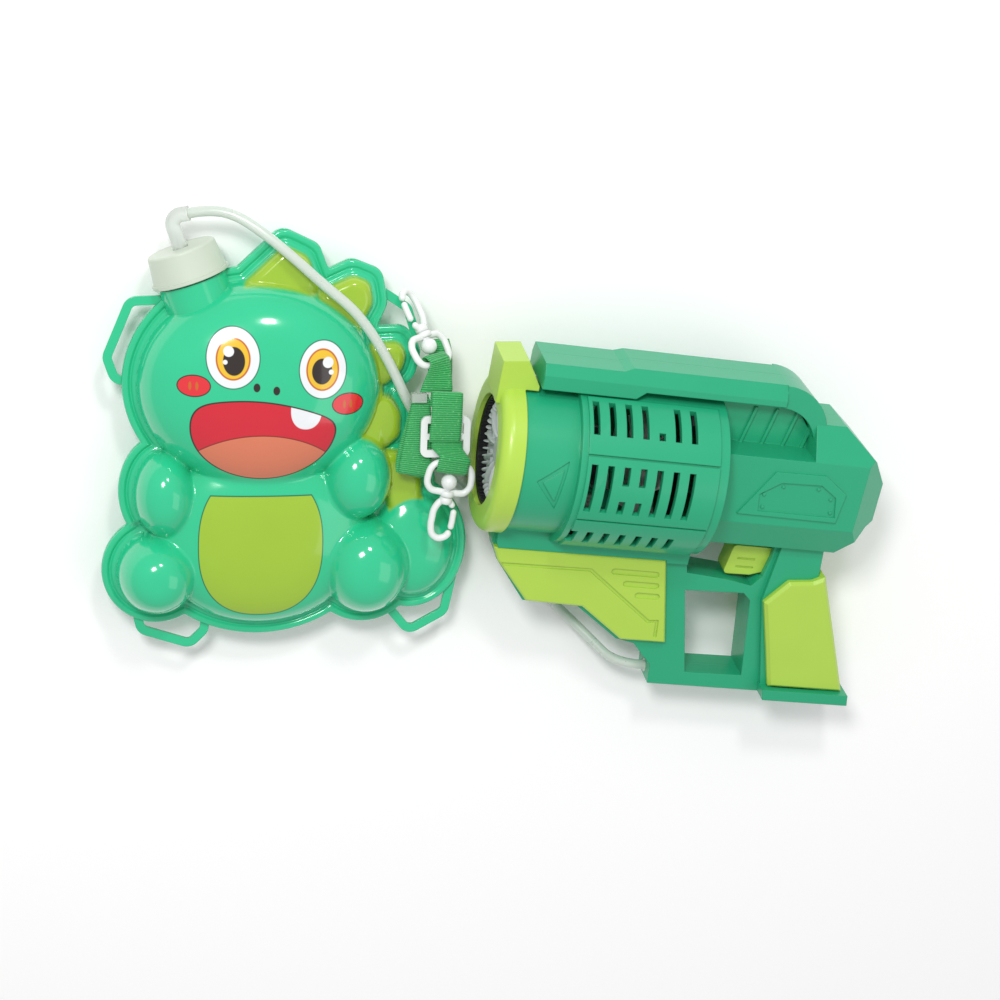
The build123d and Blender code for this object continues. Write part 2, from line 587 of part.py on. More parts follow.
# ---- inside the gun -----------------------------------------------------------------------------
def gear_outline(teeth, addendum=0.8, dedendum=1.15, backlash=0.20):
    """Points round a spur gear with 20 degree involute teeth, first tooth centred on angle 0."""
    pitch_r = GEAR_MODULE * teeth / 2
    base_r = pitch_r * math.cos(math.radians(20))
    tip_r = pitch_r + addendum * GEAR_MODULE
    root_r = pitch_r - dedendum * GEAR_MODULE

    def spread(radius):
        """Angle that the involute has turned through at a radius."""
        roll = math.sqrt(max((radius / base_r) ** 2 - 1, 0))
        return roll - math.atan(roll)

    half_tooth = math.pi / (2 * teeth) - backlash / (2 * pitch_r)
    flank = []
    for step in range(4):
        radius = max(base_r, root_r) + (tip_r - max(base_r, root_r)) * step / 3
        flank.append((radius, half_tooth + spread(pitch_r) - spread(radius)))
    flank.insert(0, (root_r, flank[0][1] + (0.02 if root_r > base_r else 0.0)))
    points = []
    for tooth in range(teeth):
        middle = 2 * math.pi * tooth / teeth
        for radius, angle in flank:
            points.append((radius * math.cos(middle - angle), radius * math.sin(middle - angle)))
        for radius, angle in reversed(flank):
            points.append((radius * math.cos(middle + angle), radius * math.sin(middle + angle)))
    return points


def gear(teeth, turned, start, length, y):
    """A spur gear about an axis along X, its first tooth turned from +Y by an angle in degrees."""
    outline = make_face(Polyline(*gear_outline(teeth), close=True))
    wheel = extrude(Plane.YZ * (Rot(0, 0, turned) * outline), amount=length)
    return Pos(start, y, 0) * wheel


CENTRES = GEAR_MODULE * (WHEEL_TEETH + PINION_TEETH) / 2
MOTOR_Y = -CENTRES
MOTOR_SHAFT_R = 1.0


def build_bubble_head():
    """The bubble wheel, its shaft and gear, the drive motor and its pinion, and the bulkhead."""
    wheel = xcyl(WHEEL_R, WHEEL_X, WHEEL_X + 2.5) + xcyl(6.0, WHEEL_X - 1.5, WHEEL_X + 2.5)
    for index in range(10):
        turn = math.radians(index * 36)
        y, z = 16.5 * math.sin(turn), 16.5 * math.cos(turn)
        wheel += xcyl(4.4, WHEEL_X - 1.2, WHEEL_X + 2.5, y, z)
        wheel -= xcyl(3.3, WHEEL_X - 3, WHEEL_X + 4, y, z)
    save("bubble_wheel", GUN * (wheel - xcyl(SHAFT_R, WHEEL_X + 0.5, 30)))
    save("wheel_shaft", GUN * xcyl(SHAFT_R, WHEEL_X + 0.5, PUMP_X + PUMP_L))
    spur = gear(WHEEL_TEETH, 0.0, GEAR_X, GEAR_T, 0.0) - xcyl(SHAFT_R, 0, 60)
    for index in range(6):
        turn = math.radians(index * 60)
        spur -= xcyl(4.2, GEAR_X - 1, GEAR_X + GEAR_T + 1, 13 * math.sin(turn), 13 * math.cos(turn))
    save("wheel_gear", GUN * spur)
    # The gear has a tooth pointing straight down, so the pinion has a gap pointing straight up.
    pinion = gear(PINION_TEETH, 180.0 / PINION_TEETH, GEAR_X, GEAR_T, MOTOR_Y)
    save("motor_pinion", GUN * (pinion - xcyl(MOTOR_SHAFT_R, 0, 60, MOTOR_Y)))
    save("motor_shaft", GUN * xcyl(MOTOR_SHAFT_R, GEAR_X - 0.5, BULKHEAD_X + BULKHEAD_T + 4, MOTOR_Y))
    bulkhead = xcyl(BARREL_R - SHELL_WALL, BULKHEAD_X, BULKHEAD_X + BULKHEAD_T)
    bulkhead -= xcyl(SHAFT_R + RUNNING, 0, 60) + xcyl(MOTOR_SHAFT_R + 0.3, 0, 60, MOTOR_Y)
    for index in (0, 1, 2, 3, 5, 6, 7):
        turn = math.radians(index * 45)
        bulkhead -= xcyl(6.5, 30, 50, 26 * math.sin(turn + 0.4), 26 * math.cos(turn + 0.4))
    save("bulkhead", GUN * bulkhead)
    back = BULKHEAD_X + BULKHEAD_T
    motor = xcyl(9.0, back, back + 21, MOTOR_Y) + xcyl(3.0, back + 21, back + 23, MOTOR_Y)
    save("drive_motor", GUN * (motor - xcyl(MOTOR_SHAFT_R + RUNNING, back - 1, back + 4.2, MOTOR_Y)))


PIPE_X = PUMP_X + 6.3          # plane of the bent pump tube


def build_pump():
    """A peristaltic pump on the wheel's shaft: a rotor with three rollers inside a bent tube."""
    back = BULKHEAD_X + BULKHEAD_T
    body = xcyl(17.6, back, PUMP_X + PUMP_L + 1.5) - xcyl(14.9, back + 1.0, PUMP_X + PUMP_L + 2)
    body -= xcyl(SHAFT_R + RUNNING, back - 1, back + 2)
    body -= box((PUMP_X + 2, -20, 0.5), (60, -6, 20))
    body -= box((PUMP_X + 2, 6, 0.5), (60, 20, 20))
    save("pump_body", GUN * body)
    rotor = xcyl(10.5, PUMP_X + 0.6, PUMP_X + 2.0) + xcyl(10.5, PUMP_X + 10.6, PUMP_X + 12.0)
    rotor += xcyl(4.0, PUMP_X + 1, PUMP_X + 11)
    rollers = []
    for index in range(3):
        turn = math.radians(index * 120 + 60)
        y, z = 8.2 * math.sin(turn), 8.2 * math.cos(turn)
        rotor += xcyl(1.0, PUMP_X + 1, PUMP_X + 11, y, z)
        roller = xcyl(3.2, PUMP_X + 2.3, PUMP_X + 10.3, y, z) - xcyl(1.0 + RUNNING, 0, 80, y, z)
        rollers.append(roller)
    save("pump_rotor", GUN * (rotor - xcyl(SHAFT_R, 0, 80)))
    save("pump_rollers", GUN * Compound(children=rollers))
    path = FilletPolyline((PIPE_X, -13.2, 8.0), (PIPE_X, -13.2, -13.2), (PIPE_X, 13.2, -13.2),
                          (PIPE_X, 13.2, 8.0), radius=13.15)
    save("pump_tube", GUN * sweep(Plane(path @ 0, z_dir=path % 0) * Circle(1.5), path=path))


def build_fan():
    """The fan that blows through the wheel, its motor and the spider that holds the motor."""
    hub = xcyl(8.0, FAN_X, FAN_X + 14)
    blades = []
    for index in range(7):
        blade = Rot(index * 360 / 7, 0, 0) * Pos(FAN_X + 7, 0, 17.8) * Rot(0, 0, 38) * Box(12, 1.2, 21.6)
        blades.append(blade)
    fan = (hub + blades) & xcyl(FAN_R, FAN_X - 5, FAN_X + 20)
    fan -= xcyl(MOTOR_SHAFT_R, FAN_X + 4, FAN_X + 20)
    save("fan", GUN * fan)
    motor_front = FAN_X + FAN_L
    save("fan_shaft", GUN * xcyl(MOTOR_SHAFT_R, FAN_X + 4, motor_front + 4))
    motor = xcyl(12.0, motor_front, motor_front + 26) + xcyl(3.0, motor_front + 26, motor_front + 28)
    save("fan_motor", GUN * (motor - xcyl(MOTOR_SHAFT_R + RUNNING, motor_front - 1, motor_front + 4.2)))
    spider = xcyl(14.5, motor_front + 3, motor_front + 11) - xcyl(12.0, 80, 130)
    arms = []
    for turn in (30, 150, 270):
        arm = Rot(turn, 0, 0) * box((motor_front + 4, 14.0, -3), (motor_front + 7, DRUM_R - SHELL_WALL, 3))
        arms.append(arm)
    save("motor_spider", GUN * ((spider + arms) & xcyl(DRUM_R - SHELL_WALL, 80, 130)))


def build_plumbing():
    """The inlet barb, the tube up to the pump, the pump tube and the tube on to the wheel."""
    x, y = INLET_AT
    barb = xcyl(INLET_R, x - 0.4, x + 3.0, y) + xcyl(HOSE_D / 2, x - BARB_OUT, x, y)
    save("inlet_barb", GUN * (barb - xcyl(1.2, x - 10, x + 10, y)))
    feed = [(x + 3.0, y, 0), (116.8, y, 0), (118.6, -104.0, 0), (113.6, -91, 0), (109.0, -77, 0),
            (101.0, -63, 0), (88.0, -55, 0), (74.0, -49, 0), (66.0, -38, 2), (62.5, -23, 8),
            (57.0, -15.5, 15.5), (49.5, -13.4, 17.5), (PIPE_X, -13.2, 13.5), (PIPE_X, -13.2, 8.0)]
    deliver = [(PIPE_X, 13.2, 8.0), (PIPE_X, 13.2, 13.5), (44.5, 12.4, 19), (39.5, 10.8, 22.8),
               (30, 10.5, 23.9), (20, 10.5, 23), (11.4, 9.8, 20.5)]
    save("feed_tube", GUN * tube(feed, 3.0)[0])
    save("delivery_tube", GUN * tube(deliver, 3.0)[0])


def build_power():
    """Four AA cells, their contacts, the butt door with its pin and screw."""
    cells = []
    axis = Vector(SLOPE[0], SLOPE[1], 0)
    across = Vector(-SLOPE[1], SLOPE[0], 0)
    for side in (-0.5, 0.5):
        for level in (-0.5, 0.5):
            middle = Vector(*BAY_AT, 0) + across * (side * CELL_SPACING) + Vector(0, 0, level * CELL_SPACING)
            low, high = middle - axis * (BATTERY_L / 2 - 1), middle + axis * (BATTERY_L / 2)
            cell = bar(tuple(low), tuple(high), BATTERY_R - 0.05)
            nub_end = low - axis * 1.0
            cells.append(cell + bar(tuple(nub_end), tuple(low), 2.7))
    save("battery_cells", GUN * Compound(children=cells))
    contacts = []
    for side in (-0.5, 0.5):
        middle = Vector(*BAY_AT, 0) + across * (side * CELL_SPACING) - axis * (BATTERY_L / 2 + 0.35)
        strip = Rot(0, 0, BAY_TURN) * Box(10, 0.5, 26)
        contacts.append(Pos(*middle) * strip)
    save("battery_contacts", GUN * Compound(children=contacts))
    door = box((170.0, BUTT_Y, -DOOR_HALF), (212.0, BUTT_Y + DOOR_T, DOOR_HALF))
    door += zcyl(1.2, -DOOR_HALF, DOOR_HALF, *DOOR_PIN)
    door -= zcyl(0.8 + RUNNING, -30, 30, *DOOR_PIN)
    door -= bar((DOOR_SCREW[0], BUTT_Y - 1, 0), (DOOR_SCREW[0], BUTT_Y + 5, 0), SCREW_R)
    door -= bar((DOOR_SCREW[0], BUTT_Y - 1, 0), (DOOR_SCREW[0], BUTT_Y + 1.0, 0), SCREW_HEAD_R)
    for x in (186, 190, 194, 198):
        door -= box((x, BUTT_Y - 1, -9), (x + 1.2, BUTT_Y + 0.5, 9))
    save("battery_door", GUN * door)
    save("door_pin", GUN * zcyl(0.8, -BUTT_HALF + 1, BUTT_HALF - 1, *DOOR_PIN))
    screw = bar((DOOR_SCREW[0], BUTT_Y + 0.1, 0), (DOOR_SCREW[0], BUTT_Y + 1.0, 0), SCREW_HEAD_R)
    screw += bar((DOOR_SCREW[0], BUTT_Y + 1.0, 0), (DOOR_SCREW[0], BUTT_Y + 4.6, 0), SCREW_R)
    save("door_screw", GUN * screw)


# ---- strap --------------------------------------------------------------------------------------
UPPER_HOOK_AT = (-37.7, 58.2, 33.0)
UPPER_HOOK_WAY = (-0.396, 0.918, -0.42)
UPPER_HOOK_TURN = 50.0         # hook body turned about its own length, degrees
LOWER_HOOK_AT = (-27.5, -6.9, 44.6)
LOWER_HOOK_WAY = (-0.139, -0.99, -0.06)
GATE_PIN = (-4.97, 14.9)


def hook_frame(ball, way, turn):
    """A plane at the hook's ball: +Y along the hook, +Z up and then turned about +Y."""
    along = Vector(*way).normalized()
    up = (Vector(0, 0, 1) - along * along.Z).normalized()
    side = along.cross(up)
    normal = up * math.cos(math.radians(turn)) + side * math.sin(math.radians(turn))
    return Plane(origin=ball, x_dir=along.cross(normal), z_dir=normal)


def stadium(width, length, half):
    """A slab with round ends, long in Y, centred on the origin."""
    outline = SlotOverall(length, width, rotation=90)
    return Pos(0, 0, -half) * extrude(outline, amount=2 * half)


def hook_eye():
    """The ring that the webbing goes through, with the swivel's collar."""
    ring = Box(25, 18.2, RING_T) - Box(18.2, 12.2, 10)
    ring = Pos(0, -1.9, 0) * fillet(ring.edges().filter_by(Axis.Z), 2.8)
    collar = bar((0, 4.2, 0), (0, 7.2, 0), 3.5)
    return ring + collar - bar((0, 3, 0), (0, 9, 0), 1.8 + RUNNING)


def hook_body():
    """The swivelling snap hook: a ball held in the ring, a pin and the hook, open at one side."""
    loop = Pos(0, 19.5, 0) * (stadium(13.5, 23, RING_T / 2) - stadium(6.4, 15, 5))
    loop -= box((-8, 14.9, -5), (-2.9, 24.3, 5))
    loop -= zcyl(2.05, -5, 5, *GATE_PIN)
    neck = bar((0, 0, 0), (0, 9.0, 0), 1.8) + bar((0, 7.5, 0), (0, 10.5, 0), 3.1)
    return loop + neck + Sphere(3.5)


def hook_gate():
    """The sprung gate of the hook, turning about a pin across the hook."""
    arm = box((-6.75, 14.9, -RING_T / 2), (-3.2, 24.0, RING_T / 2))
    return arm + zcyl(1.75, -RING_T / 2, RING_T / 2, *GATE_PIN)


def webbing_fold(start, back_start, end, room):
    """Webbing folded back under a bar in the XY plane: a long layer, its end and a shorter layer."""
    fold = box((-WEB_W / 2, start, -room - WEB_T), (WEB_W / 2, end, room + WEB_T))
    fold -= box((-WEB_W, start - 1, -room), (WEB_W, end - WEB_T, room))
    return fold - box((-WEB_W, start - 1, -room - 2 * WEB_T), (WEB_W, back_start, 0))


def build_strap():
    """The folded webbing, its band and slide adjuster, and the two snap hooks."""
    upper = hook_frame(UPPER_HOOK_AT, UPPER_HOOK_WAY, 0.0)
    upper_body = hook_frame(UPPER_HOOK_AT, UPPER_HOOK_WAY, UPPER_HOOK_TURN)
    lower = hook_frame(LOWER_HOOK_AT, LOWER_HOOK_WAY, 0.0)
    save("hook_upper_eye", upper * hook_eye())
    save("hook_upper_body", upper_body * hook_body())
    save("hook_upper_gate", upper_body * hook_gate())
    save("hook_lower_eye", lower * hook_eye())
    save("hook_lower_body", lower * hook_body())
    save("hook_lower_gate", lower * hook_gate())

    end = plate([(-38.8, 49.0), (-26.2, 49.0), (-27.0, 37.0), (-42.3, 36.6)], 38.2, 38.2 + 2 * WEB_T)
    save("strap_upper_end", upper * webbing_fold(-16.5, -11.8, -4.0, 2.0) + end)
    back = plate([(-31.5, 61.0), (-27.0, 61.5), (-25.6, 36.0), (-31.0, 36.0)], 25.0, 25.0 + WEB_T)
    save("strap_back_fold", back)
    bundle = plate([(-45.8, 31.7), (-37.0, 31.7), (-35.7, -6.0), (-53.1, -4.0), (-52.5, 5.9)], 38.0, 41.4)
    save("strap_bundle", bundle)
    save("strap_tie", box((-46.4, 32.0, 37.6), (-39.2, 36.4, 41.8)))
    front = plate([(-38.4, 13.4), (-23.0, 13.0), (-22.4, 35.4), (-37.4, 36.4)], 44.4, 47.0)
    save("strap_front", front)
    save("strap_lower_end", lower * webbing_fold(-19.6, -11.6, -4.0, 2.0))
    frame = Pos(-29.9, 15.6, 0) * box((-12.2, -10.2, 41.8), (12.2, 10.2, 44.0))
    frame = fillet(frame.edges().filter_by(Axis.Z), 3.5)
    for y in (-4.0, 4.0):
        window = Pos(-29.9, 15.6 + y, 0) * box((-8.9, -2.6, 40), (8.9, 2.6, 46))
        frame -= window
    save("strap_adjuster", frame)


# ---- hose ---------------------------------------------------------------------------------------
HOSE_RUN = [(-131.0, 119.6, 27.2), (-117.5, 111.2, 31.0), (-104.0, 100.5, 34.0),
            (-89.5, 87.8, 36.0), (-76.0, 77.2, 37.5), (-66.8, 66.0, 37.5), (-59.2, 54.0, 36.8),
            (-52.9, 42.2, 35.2), (-47.5, 31.0, 32.5), (-41.5, 21.5, 27.0), (-35.5, 12.5, 19.0),
            (-29.5, 3.5, 10.5), (-22.5, -6.0, 4.4), (-13.5, -16.5, 2.7), (-3.0, -27.0, 2.6),
            (6.0, -35.5, 2.6), (12.0, -45.0, 2.6)]
HOSE_END = [(18.5, -62.5, 7.6), (25.5, -71.5, 6.4), (34.0, -79.5, 4.8),
            (44.5, -89.5, 5.6), (55.5, -99.5, 12.4)]
HANK_AT = (60.0, -51.0)
HANK_TURN = -6.0


def build_hose(start):
    """The hose from the outlet fitting to the gun, with its spare length lying in a flat hank."""
    run = [tuple(start), tuple(start + Vector(*HOSE_WAY))] + HOSE_RUN
    solid, path = tube(run, HOSE_D)
    save("hose_run", solid)
    print("hose_run", round(path.length), "radii", [round(r, 1) for r in arc_radii(run)])
    ring = extrude(SlotOverall(100, 44), amount=HANK_H) - extrude(SlotOverall(90, 34), amount=HANK_H)
    save("hose_hank", Pos(*HANK_AT, 0) * Rot(0, 0, HANK_TURN) * ring)
    inlet = (GUN * Pos(INLET_AT[0] - BARB_OUT, INLET_AT[1], 0)).position
    before = (GUN * Pos(INLET_AT[0] - BARB_OUT - 14.0, INLET_AT[1], 0)).position
    last = HOSE_END + [tuple(before), tuple(inlet)]
    solid, path = tube(last, HOSE_D)
    save("hose_end", solid)
    print("hose_end", round(path.length), "radii", [round(r, 1) for r in arc_radii(last)])


if __name__ == "__main__":
    hose_start = build_tank()
    build_gun_shells()
    build_gun()
    build_bubble_head()
    build_pump()
    build_fan()
    build_plumbing()
    build_power()
    build_strap()
    build_hose(hose_start)
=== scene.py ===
# %% [markdown]
# # A bubble machine: tank, hose, bubble gun and strap
# The set lies flat on a table. A tank shaped like a small dinosaur is blow moulded in green plastic,
# a milky hose leads from its cap to a battery bubble gun, and a webbing strap with two white snap
# hooks hangs from the tank. The exact parts arrive as a fixed frame, and this script adds the looks.

# %% Load the frame
import json
import math

import bpy
import bmesh
import numpy as np
from mathutils import Matrix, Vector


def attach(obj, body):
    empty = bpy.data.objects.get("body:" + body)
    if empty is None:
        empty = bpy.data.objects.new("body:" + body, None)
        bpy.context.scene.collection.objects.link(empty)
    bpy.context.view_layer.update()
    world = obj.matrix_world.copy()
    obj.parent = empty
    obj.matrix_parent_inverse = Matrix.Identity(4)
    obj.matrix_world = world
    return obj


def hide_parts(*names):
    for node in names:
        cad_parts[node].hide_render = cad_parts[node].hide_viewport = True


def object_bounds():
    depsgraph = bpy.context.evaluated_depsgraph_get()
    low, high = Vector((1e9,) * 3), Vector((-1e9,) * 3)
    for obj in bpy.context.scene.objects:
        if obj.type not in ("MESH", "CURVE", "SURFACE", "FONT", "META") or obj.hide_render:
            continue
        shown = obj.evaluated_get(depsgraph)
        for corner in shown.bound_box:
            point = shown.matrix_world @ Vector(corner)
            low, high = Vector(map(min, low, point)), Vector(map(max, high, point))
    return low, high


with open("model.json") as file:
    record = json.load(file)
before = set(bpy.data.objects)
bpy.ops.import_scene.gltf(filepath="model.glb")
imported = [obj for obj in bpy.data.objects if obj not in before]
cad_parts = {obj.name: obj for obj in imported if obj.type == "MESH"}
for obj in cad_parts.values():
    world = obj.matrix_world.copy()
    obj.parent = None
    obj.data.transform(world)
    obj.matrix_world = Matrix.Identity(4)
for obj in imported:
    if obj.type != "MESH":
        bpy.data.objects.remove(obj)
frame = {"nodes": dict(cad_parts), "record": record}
cad_box = [list(corner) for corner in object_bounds()]

# %% Units and the places everything shares
MM = 0.001
SHIFT = np.array([0.46, 5.35, 0.0])        # the set's own layout, moved so that its middle is the origin
TANK_AT = np.array([-117.0, 11.5, 0.0]) + SHIFT
GUN_AT = np.array([-10.5, 9.25, 43.2]) + SHIFT
GUN_YAW = math.radians(-6.0)
GUN_ROLL = math.radians(11.3)
SEAM_Z = 19.0
ROOT = "set"


def turn_z(angle):
    """The matrix that turns by an angle about Z."""
    c, s = math.cos(angle), math.sin(angle)
    return np.array([[c, -s, 0], [s, c, 0], [0, 0, 1]])


def turn_x(angle):
    """The matrix that turns by an angle about X."""
    c, s = math.cos(angle), math.sin(angle)
    return np.array([[1, 0, 0], [0, c, -s], [0, s, c]])


GUN_TURN = turn_z(GUN_YAW) @ turn_x(GUN_ROLL)


def on_gun(points):
    """Gun coordinates in millimetres to the frame's: turned by the gun's roll and yaw, then moved."""
    return np.asarray(points, float) @ GUN_TURN.T + GUN_AT


# %% [markdown]
# ## Camera
# A long lens looks down on the set from about 71 degrees, a little from the tank's side, and is
# rolled a touch. The three camera axes are worked out by cross products, and become the columns of
# the camera's matrix, so no rotation order has to be guessed.

# %% Camera
LOOK_AT = np.array([8.0, -28.5, 0.0]) + SHIFT
LOOK_FROM = np.array([-0.2058, 0.2588, 0.9437])
CAMERA_FAR = 1030.0
CAMERA_ROLL = math.radians(2.5)
LENS_MM = 72.0

back = LOOK_FROM / np.linalg.norm(LOOK_FROM)
level = math.atan2(-back[0], back[2])
right = np.array([math.cos(level), 0.0, math.sin(level)])
up = np.cross(back, right)
rolled_right = right * math.cos(CAMERA_ROLL) + up * math.sin(CAMERA_ROLL)
rolled_up = up * math.cos(CAMERA_ROLL) - right * math.sin(CAMERA_ROLL)
place = (LOOK_AT + back * CAMERA_FAR) * MM

camera_data = bpy.data.cameras.new("camera")
camera_data.lens = LENS_MM
camera_data.sensor_width = 36.0
camera_data.clip_start = 0.05
camera = bpy.data.objects.new("camera", camera_data)
bpy.context.scene.collection.objects.link(camera)
camera.matrix_world = Matrix([
    [*(float(v[row]) for v in (rolled_right, rolled_up, back)), float(place[row])] for row in range(3)
] + [[0, 0, 0, 1]])
bpy.context.scene.camera = camera
print("camera at", [round(float(v), 3) for v in place])


# %% [markdown]
# ## Helpers for meshes
# Every new piece is a surface on a grid of two parameters. Its points come as one numpy array, and
# the grid's faces are worked out from the row and column numbers.

# %% From arrays to objects
def new_piece(name, points, faces, body=ROOT):
    """A mesh object from points in millimetres and a list of faces, riding on a body."""
    mesh = bpy.data.meshes.new(name)
    mesh.from_pydata((np.asarray(points) * MM).tolist(), [], [list(map(int, f)) for f in faces])
    mesh.update()
    mesh.shade_smooth()
    piece = bpy.data.objects.new(name, mesh)
    bpy.context.scene.collection.objects.link(piece)
    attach(piece, body)
    return piece


def grid_faces(rows, columns, wrap_rows=False, wrap_columns=False, start=0):
    """Four-sided faces of a grid whose point number is start + row * columns + column."""
    row = np.arange(rows if wrap_rows else rows - 1)
    column = np.arange(columns if wrap_columns else columns - 1)
    r, c = np.meshgrid(row, column, indexing="ij")
    r2, c2 = (r + 1) % rows, (c + 1) % columns
    quads = np.stack([r * columns + c, r * columns + c2, r2 * columns + c2, r2 * columns + c], -1)
    return (quads.reshape(-1, 4) + start).tolist()


def point_outwards(piece):
    """Turn every face of a closed piece outwards."""
    work = bmesh.new()
    work.from_mesh(piece.data)
    bmesh.ops.remove_doubles(work, verts=work.verts, dist=1e-6)
    bmesh.ops.recalc_face_normals(work, faces=work.faces)
    work.to_mesh(piece.data)
    work.free()
    return piece


# %% [markdown]
# ## The hose
# A soft milky tube, 5 mm across, from the cap's elbow over the animal's spines, down beside the
# tank, twice round a hank under the gun and into the foot of its frame. It is a curve with a round
# bevel. The bevel's depth is 1, and each point's radius brings it down to the tube's, because a
# curve's bounding box is widened by its largest point radius. A quadratic NURBS spline with the
# route's points as control points gives the gentle bends that a soft tube takes.

# %% The hose's route
HOSE_D = 5.0
INLET = on_gun([104.4, -114.0, 0.0])
BEFORE_INLET = on_gun([90.4, -114.0, 0.0])
HANK_AT = np.array([60.0, -51.0])
HANK_TURN = math.radians(-6.0)
hose_down = [(-152.015, 118.967, 21.5), (-143.015, 120.967, 24.0), (-131.0, 119.6, 27.2),
             (-117.5, 111.2, 31.0), (-104.0, 100.5, 34.0), (-89.5, 87.8, 36.0), (-76.0, 77.2, 37.5),
             (-66.8, 66.0, 37.5), (-59.2, 54.0, 36.8), (-52.9, 42.2, 35.2), (-47.5, 31.0, 32.5),
             (-41.5, 21.5, 27.0), (-35.5, 12.5, 19.0), (-29.5, 3.5, 10.5), (-22.5, -6.0, 4.4),
             (-13.5, -16.5, 2.7), (-3.0, -27.0, 2.6), (6.0, -35.5, 2.6)]
hose_up = [(34.0, -79.5, 4.8), (44.5, -89.5, 5.6), (55.5, -99.5, 12.4)]


def oval_turns(half_length, half_width, start, end, low, high, count):
    """Points round an oval, angle by angle from start to end, rising evenly from low to high."""
    angle = np.linspace(start, end, count)
    lift = np.linspace(low, high, count)
    x, y = half_length * np.cos(angle), half_width * np.sin(angle)
    c, s = math.cos(HANK_TURN), math.sin(HANK_TURN)
    return np.stack([HANK_AT[0] + c * x - s * y, HANK_AT[1] + s * x + c * y, lift], -1)


hank = oval_turns(48.6, 20.6, math.pi, math.pi + 4 * math.pi + 0.35, 2.6, 7.9, 30)
hose_points = np.concatenate([np.array(hose_down) + SHIFT, hank + SHIFT, np.array(hose_up) + SHIFT,
                              [BEFORE_INLET, INLET]])
print("hose points", len(hose_points))

# %% The hose as a curve
curve = bpy.data.curves.new("hose", "CURVE")
curve.dimensions = "3D"
curve.bevel_depth = 1.0
curve.bevel_resolution = 6
curve.resolution_u = 10
curve.use_fill_caps = True
line = curve.splines.new("NURBS")
line.points.add(len(hose_points) - 1)
line.points.foreach_set("co", np.c_[hose_points * MM, np.ones(len(hose_points))].ravel())
line.points.foreach_set("radius", np.full(len(hose_points), HOSE_D / 2 * MM))
line.order_u = 3
line.use_endpoint_u = True
hose = bpy.data.objects.new("hose", curve)
bpy.context.scene.collection.objects.link(hose)
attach(hose, ROOT)
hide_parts("hose_run", "hose_hank", "hose_end")
control = np.diff(hose_points, axis=0)
print("runs added up", round(float(np.linalg.norm(control, axis=1).sum())), "mm")


# %% [markdown]
# ## Materials
# All the shells are moulded plastic: an even colour with a faint cloudiness, a slightly uneven gloss
# and the very shallow waviness of a moulded skin. One node group gives those three, and each
# material places it with its own values. Corners of moulded parts are never knife sharp, so a Bevel
# node rounds the light across them.

# %% A group for moulded plastic
def new_group(name, inputs, outputs):
    """An empty shader group with named sockets, and its input and output nodes."""
    group = bpy.data.node_groups.new(name, "ShaderNodeTree")
    for label, kind, value in inputs:
        socket = group.interface.new_socket(label, in_out="INPUT", socket_type=kind)
        socket.default_value = value
    for label, kind in outputs:
        group.interface.new_socket(label, in_out="OUTPUT", socket_type=kind)
    return group, group.nodes.new("NodeGroupInput"), group.nodes.new("NodeGroupOutput")


moulded, given, result = new_group(
    "moulded_plastic",
    [("Color", "NodeSocketColor", (0.5, 0.5, 0.5, 1)), ("Cloud", "NodeSocketFloat", 0.06),
     ("Roughness", "NodeSocketFloat", 0.3), ("Uneven", "NodeSocketFloat", 0.08),
     ("Wave", "NodeSocketFloat", 0.05), ("Grain", "NodeSocketFloat", 0.02)],
    [("Color", "NodeSocketColor"), ("Roughness", "NodeSocketFloat"), ("Height", "NodeSocketFloat")])
nodes, links = moulded.nodes, moulded.links
coords = nodes.new("ShaderNodeTexCoord")


def noise(nodes, links, coords, scale, detail=3.0):
    """A noise texture on Object coordinates."""
    node = nodes.new("ShaderNodeTexNoise")
    node.inputs["Scale"].default_value = scale
    node.inputs["Detail"].default_value = detail
    links.new(coords.outputs["Object"], node.inputs["Vector"])
    return node


def math_node(nodes, links, operation, a, b=None, c=None, clamp=False):
    """A Math node whose inputs are sockets or numbers."""
    node = nodes.new("ShaderNodeMath")
    node.operation = operation
    node.use_clamp = clamp
    for index, value in enumerate((a, b, c)):
        if value is None:
            continue
        if isinstance(value, (int, float)):
            node.inputs[index].default_value = value
        else:
            links.new(value, node.inputs[index])
    return node.outputs[0]


cloud = noise(nodes, links, coords, 45.0)
fine = noise(nodes, links, coords, 900.0, 2.0)
wave = noise(nodes, links, coords, 120.0, 1.0)
centred = math_node(nodes, links, "SUBTRACT", cloud.outputs["Fac"], 0.5)
amount = math_node(nodes, links, "MULTIPLY", centred, given.outputs["Cloud"])
bright = math_node(nodes, links, "ADD", amount, 1.0)
tint = nodes.new("ShaderNodeVectorMath")
tint.operation = "SCALE"
links.new(given.outputs["Color"], tint.inputs[0])
links.new(bright, tint.inputs["Scale"])
links.new(tint.outputs[0], result.inputs["Color"])
spread = math_node(nodes, links, "MULTIPLY", centred, given.outputs["Uneven"])
links.new(math_node(nodes, links, "ADD", spread, given.outputs["Roughness"], clamp=True),
          result.inputs["Roughness"])
low = math_node(nodes, links, "MULTIPLY", wave.outputs["Fac"], given.outputs["Wave"])
high = math_node(nodes, links, "MULTIPLY", fine.outputs["Fac"], given.outputs["Grain"])
links.new(math_node(nodes, links, "ADD", low, high), result.inputs["Height"])
print("group", moulded.name, "ready")


# %% A material from the group
def new_material(name):
    """A material with an empty node tree but for its shader and output."""
    material = bpy.data.materials.new(name)
    material.use_nodes = True
    tree = material.node_tree
    return material, tree.nodes, tree.links, tree.nodes["Principled BSDF"]


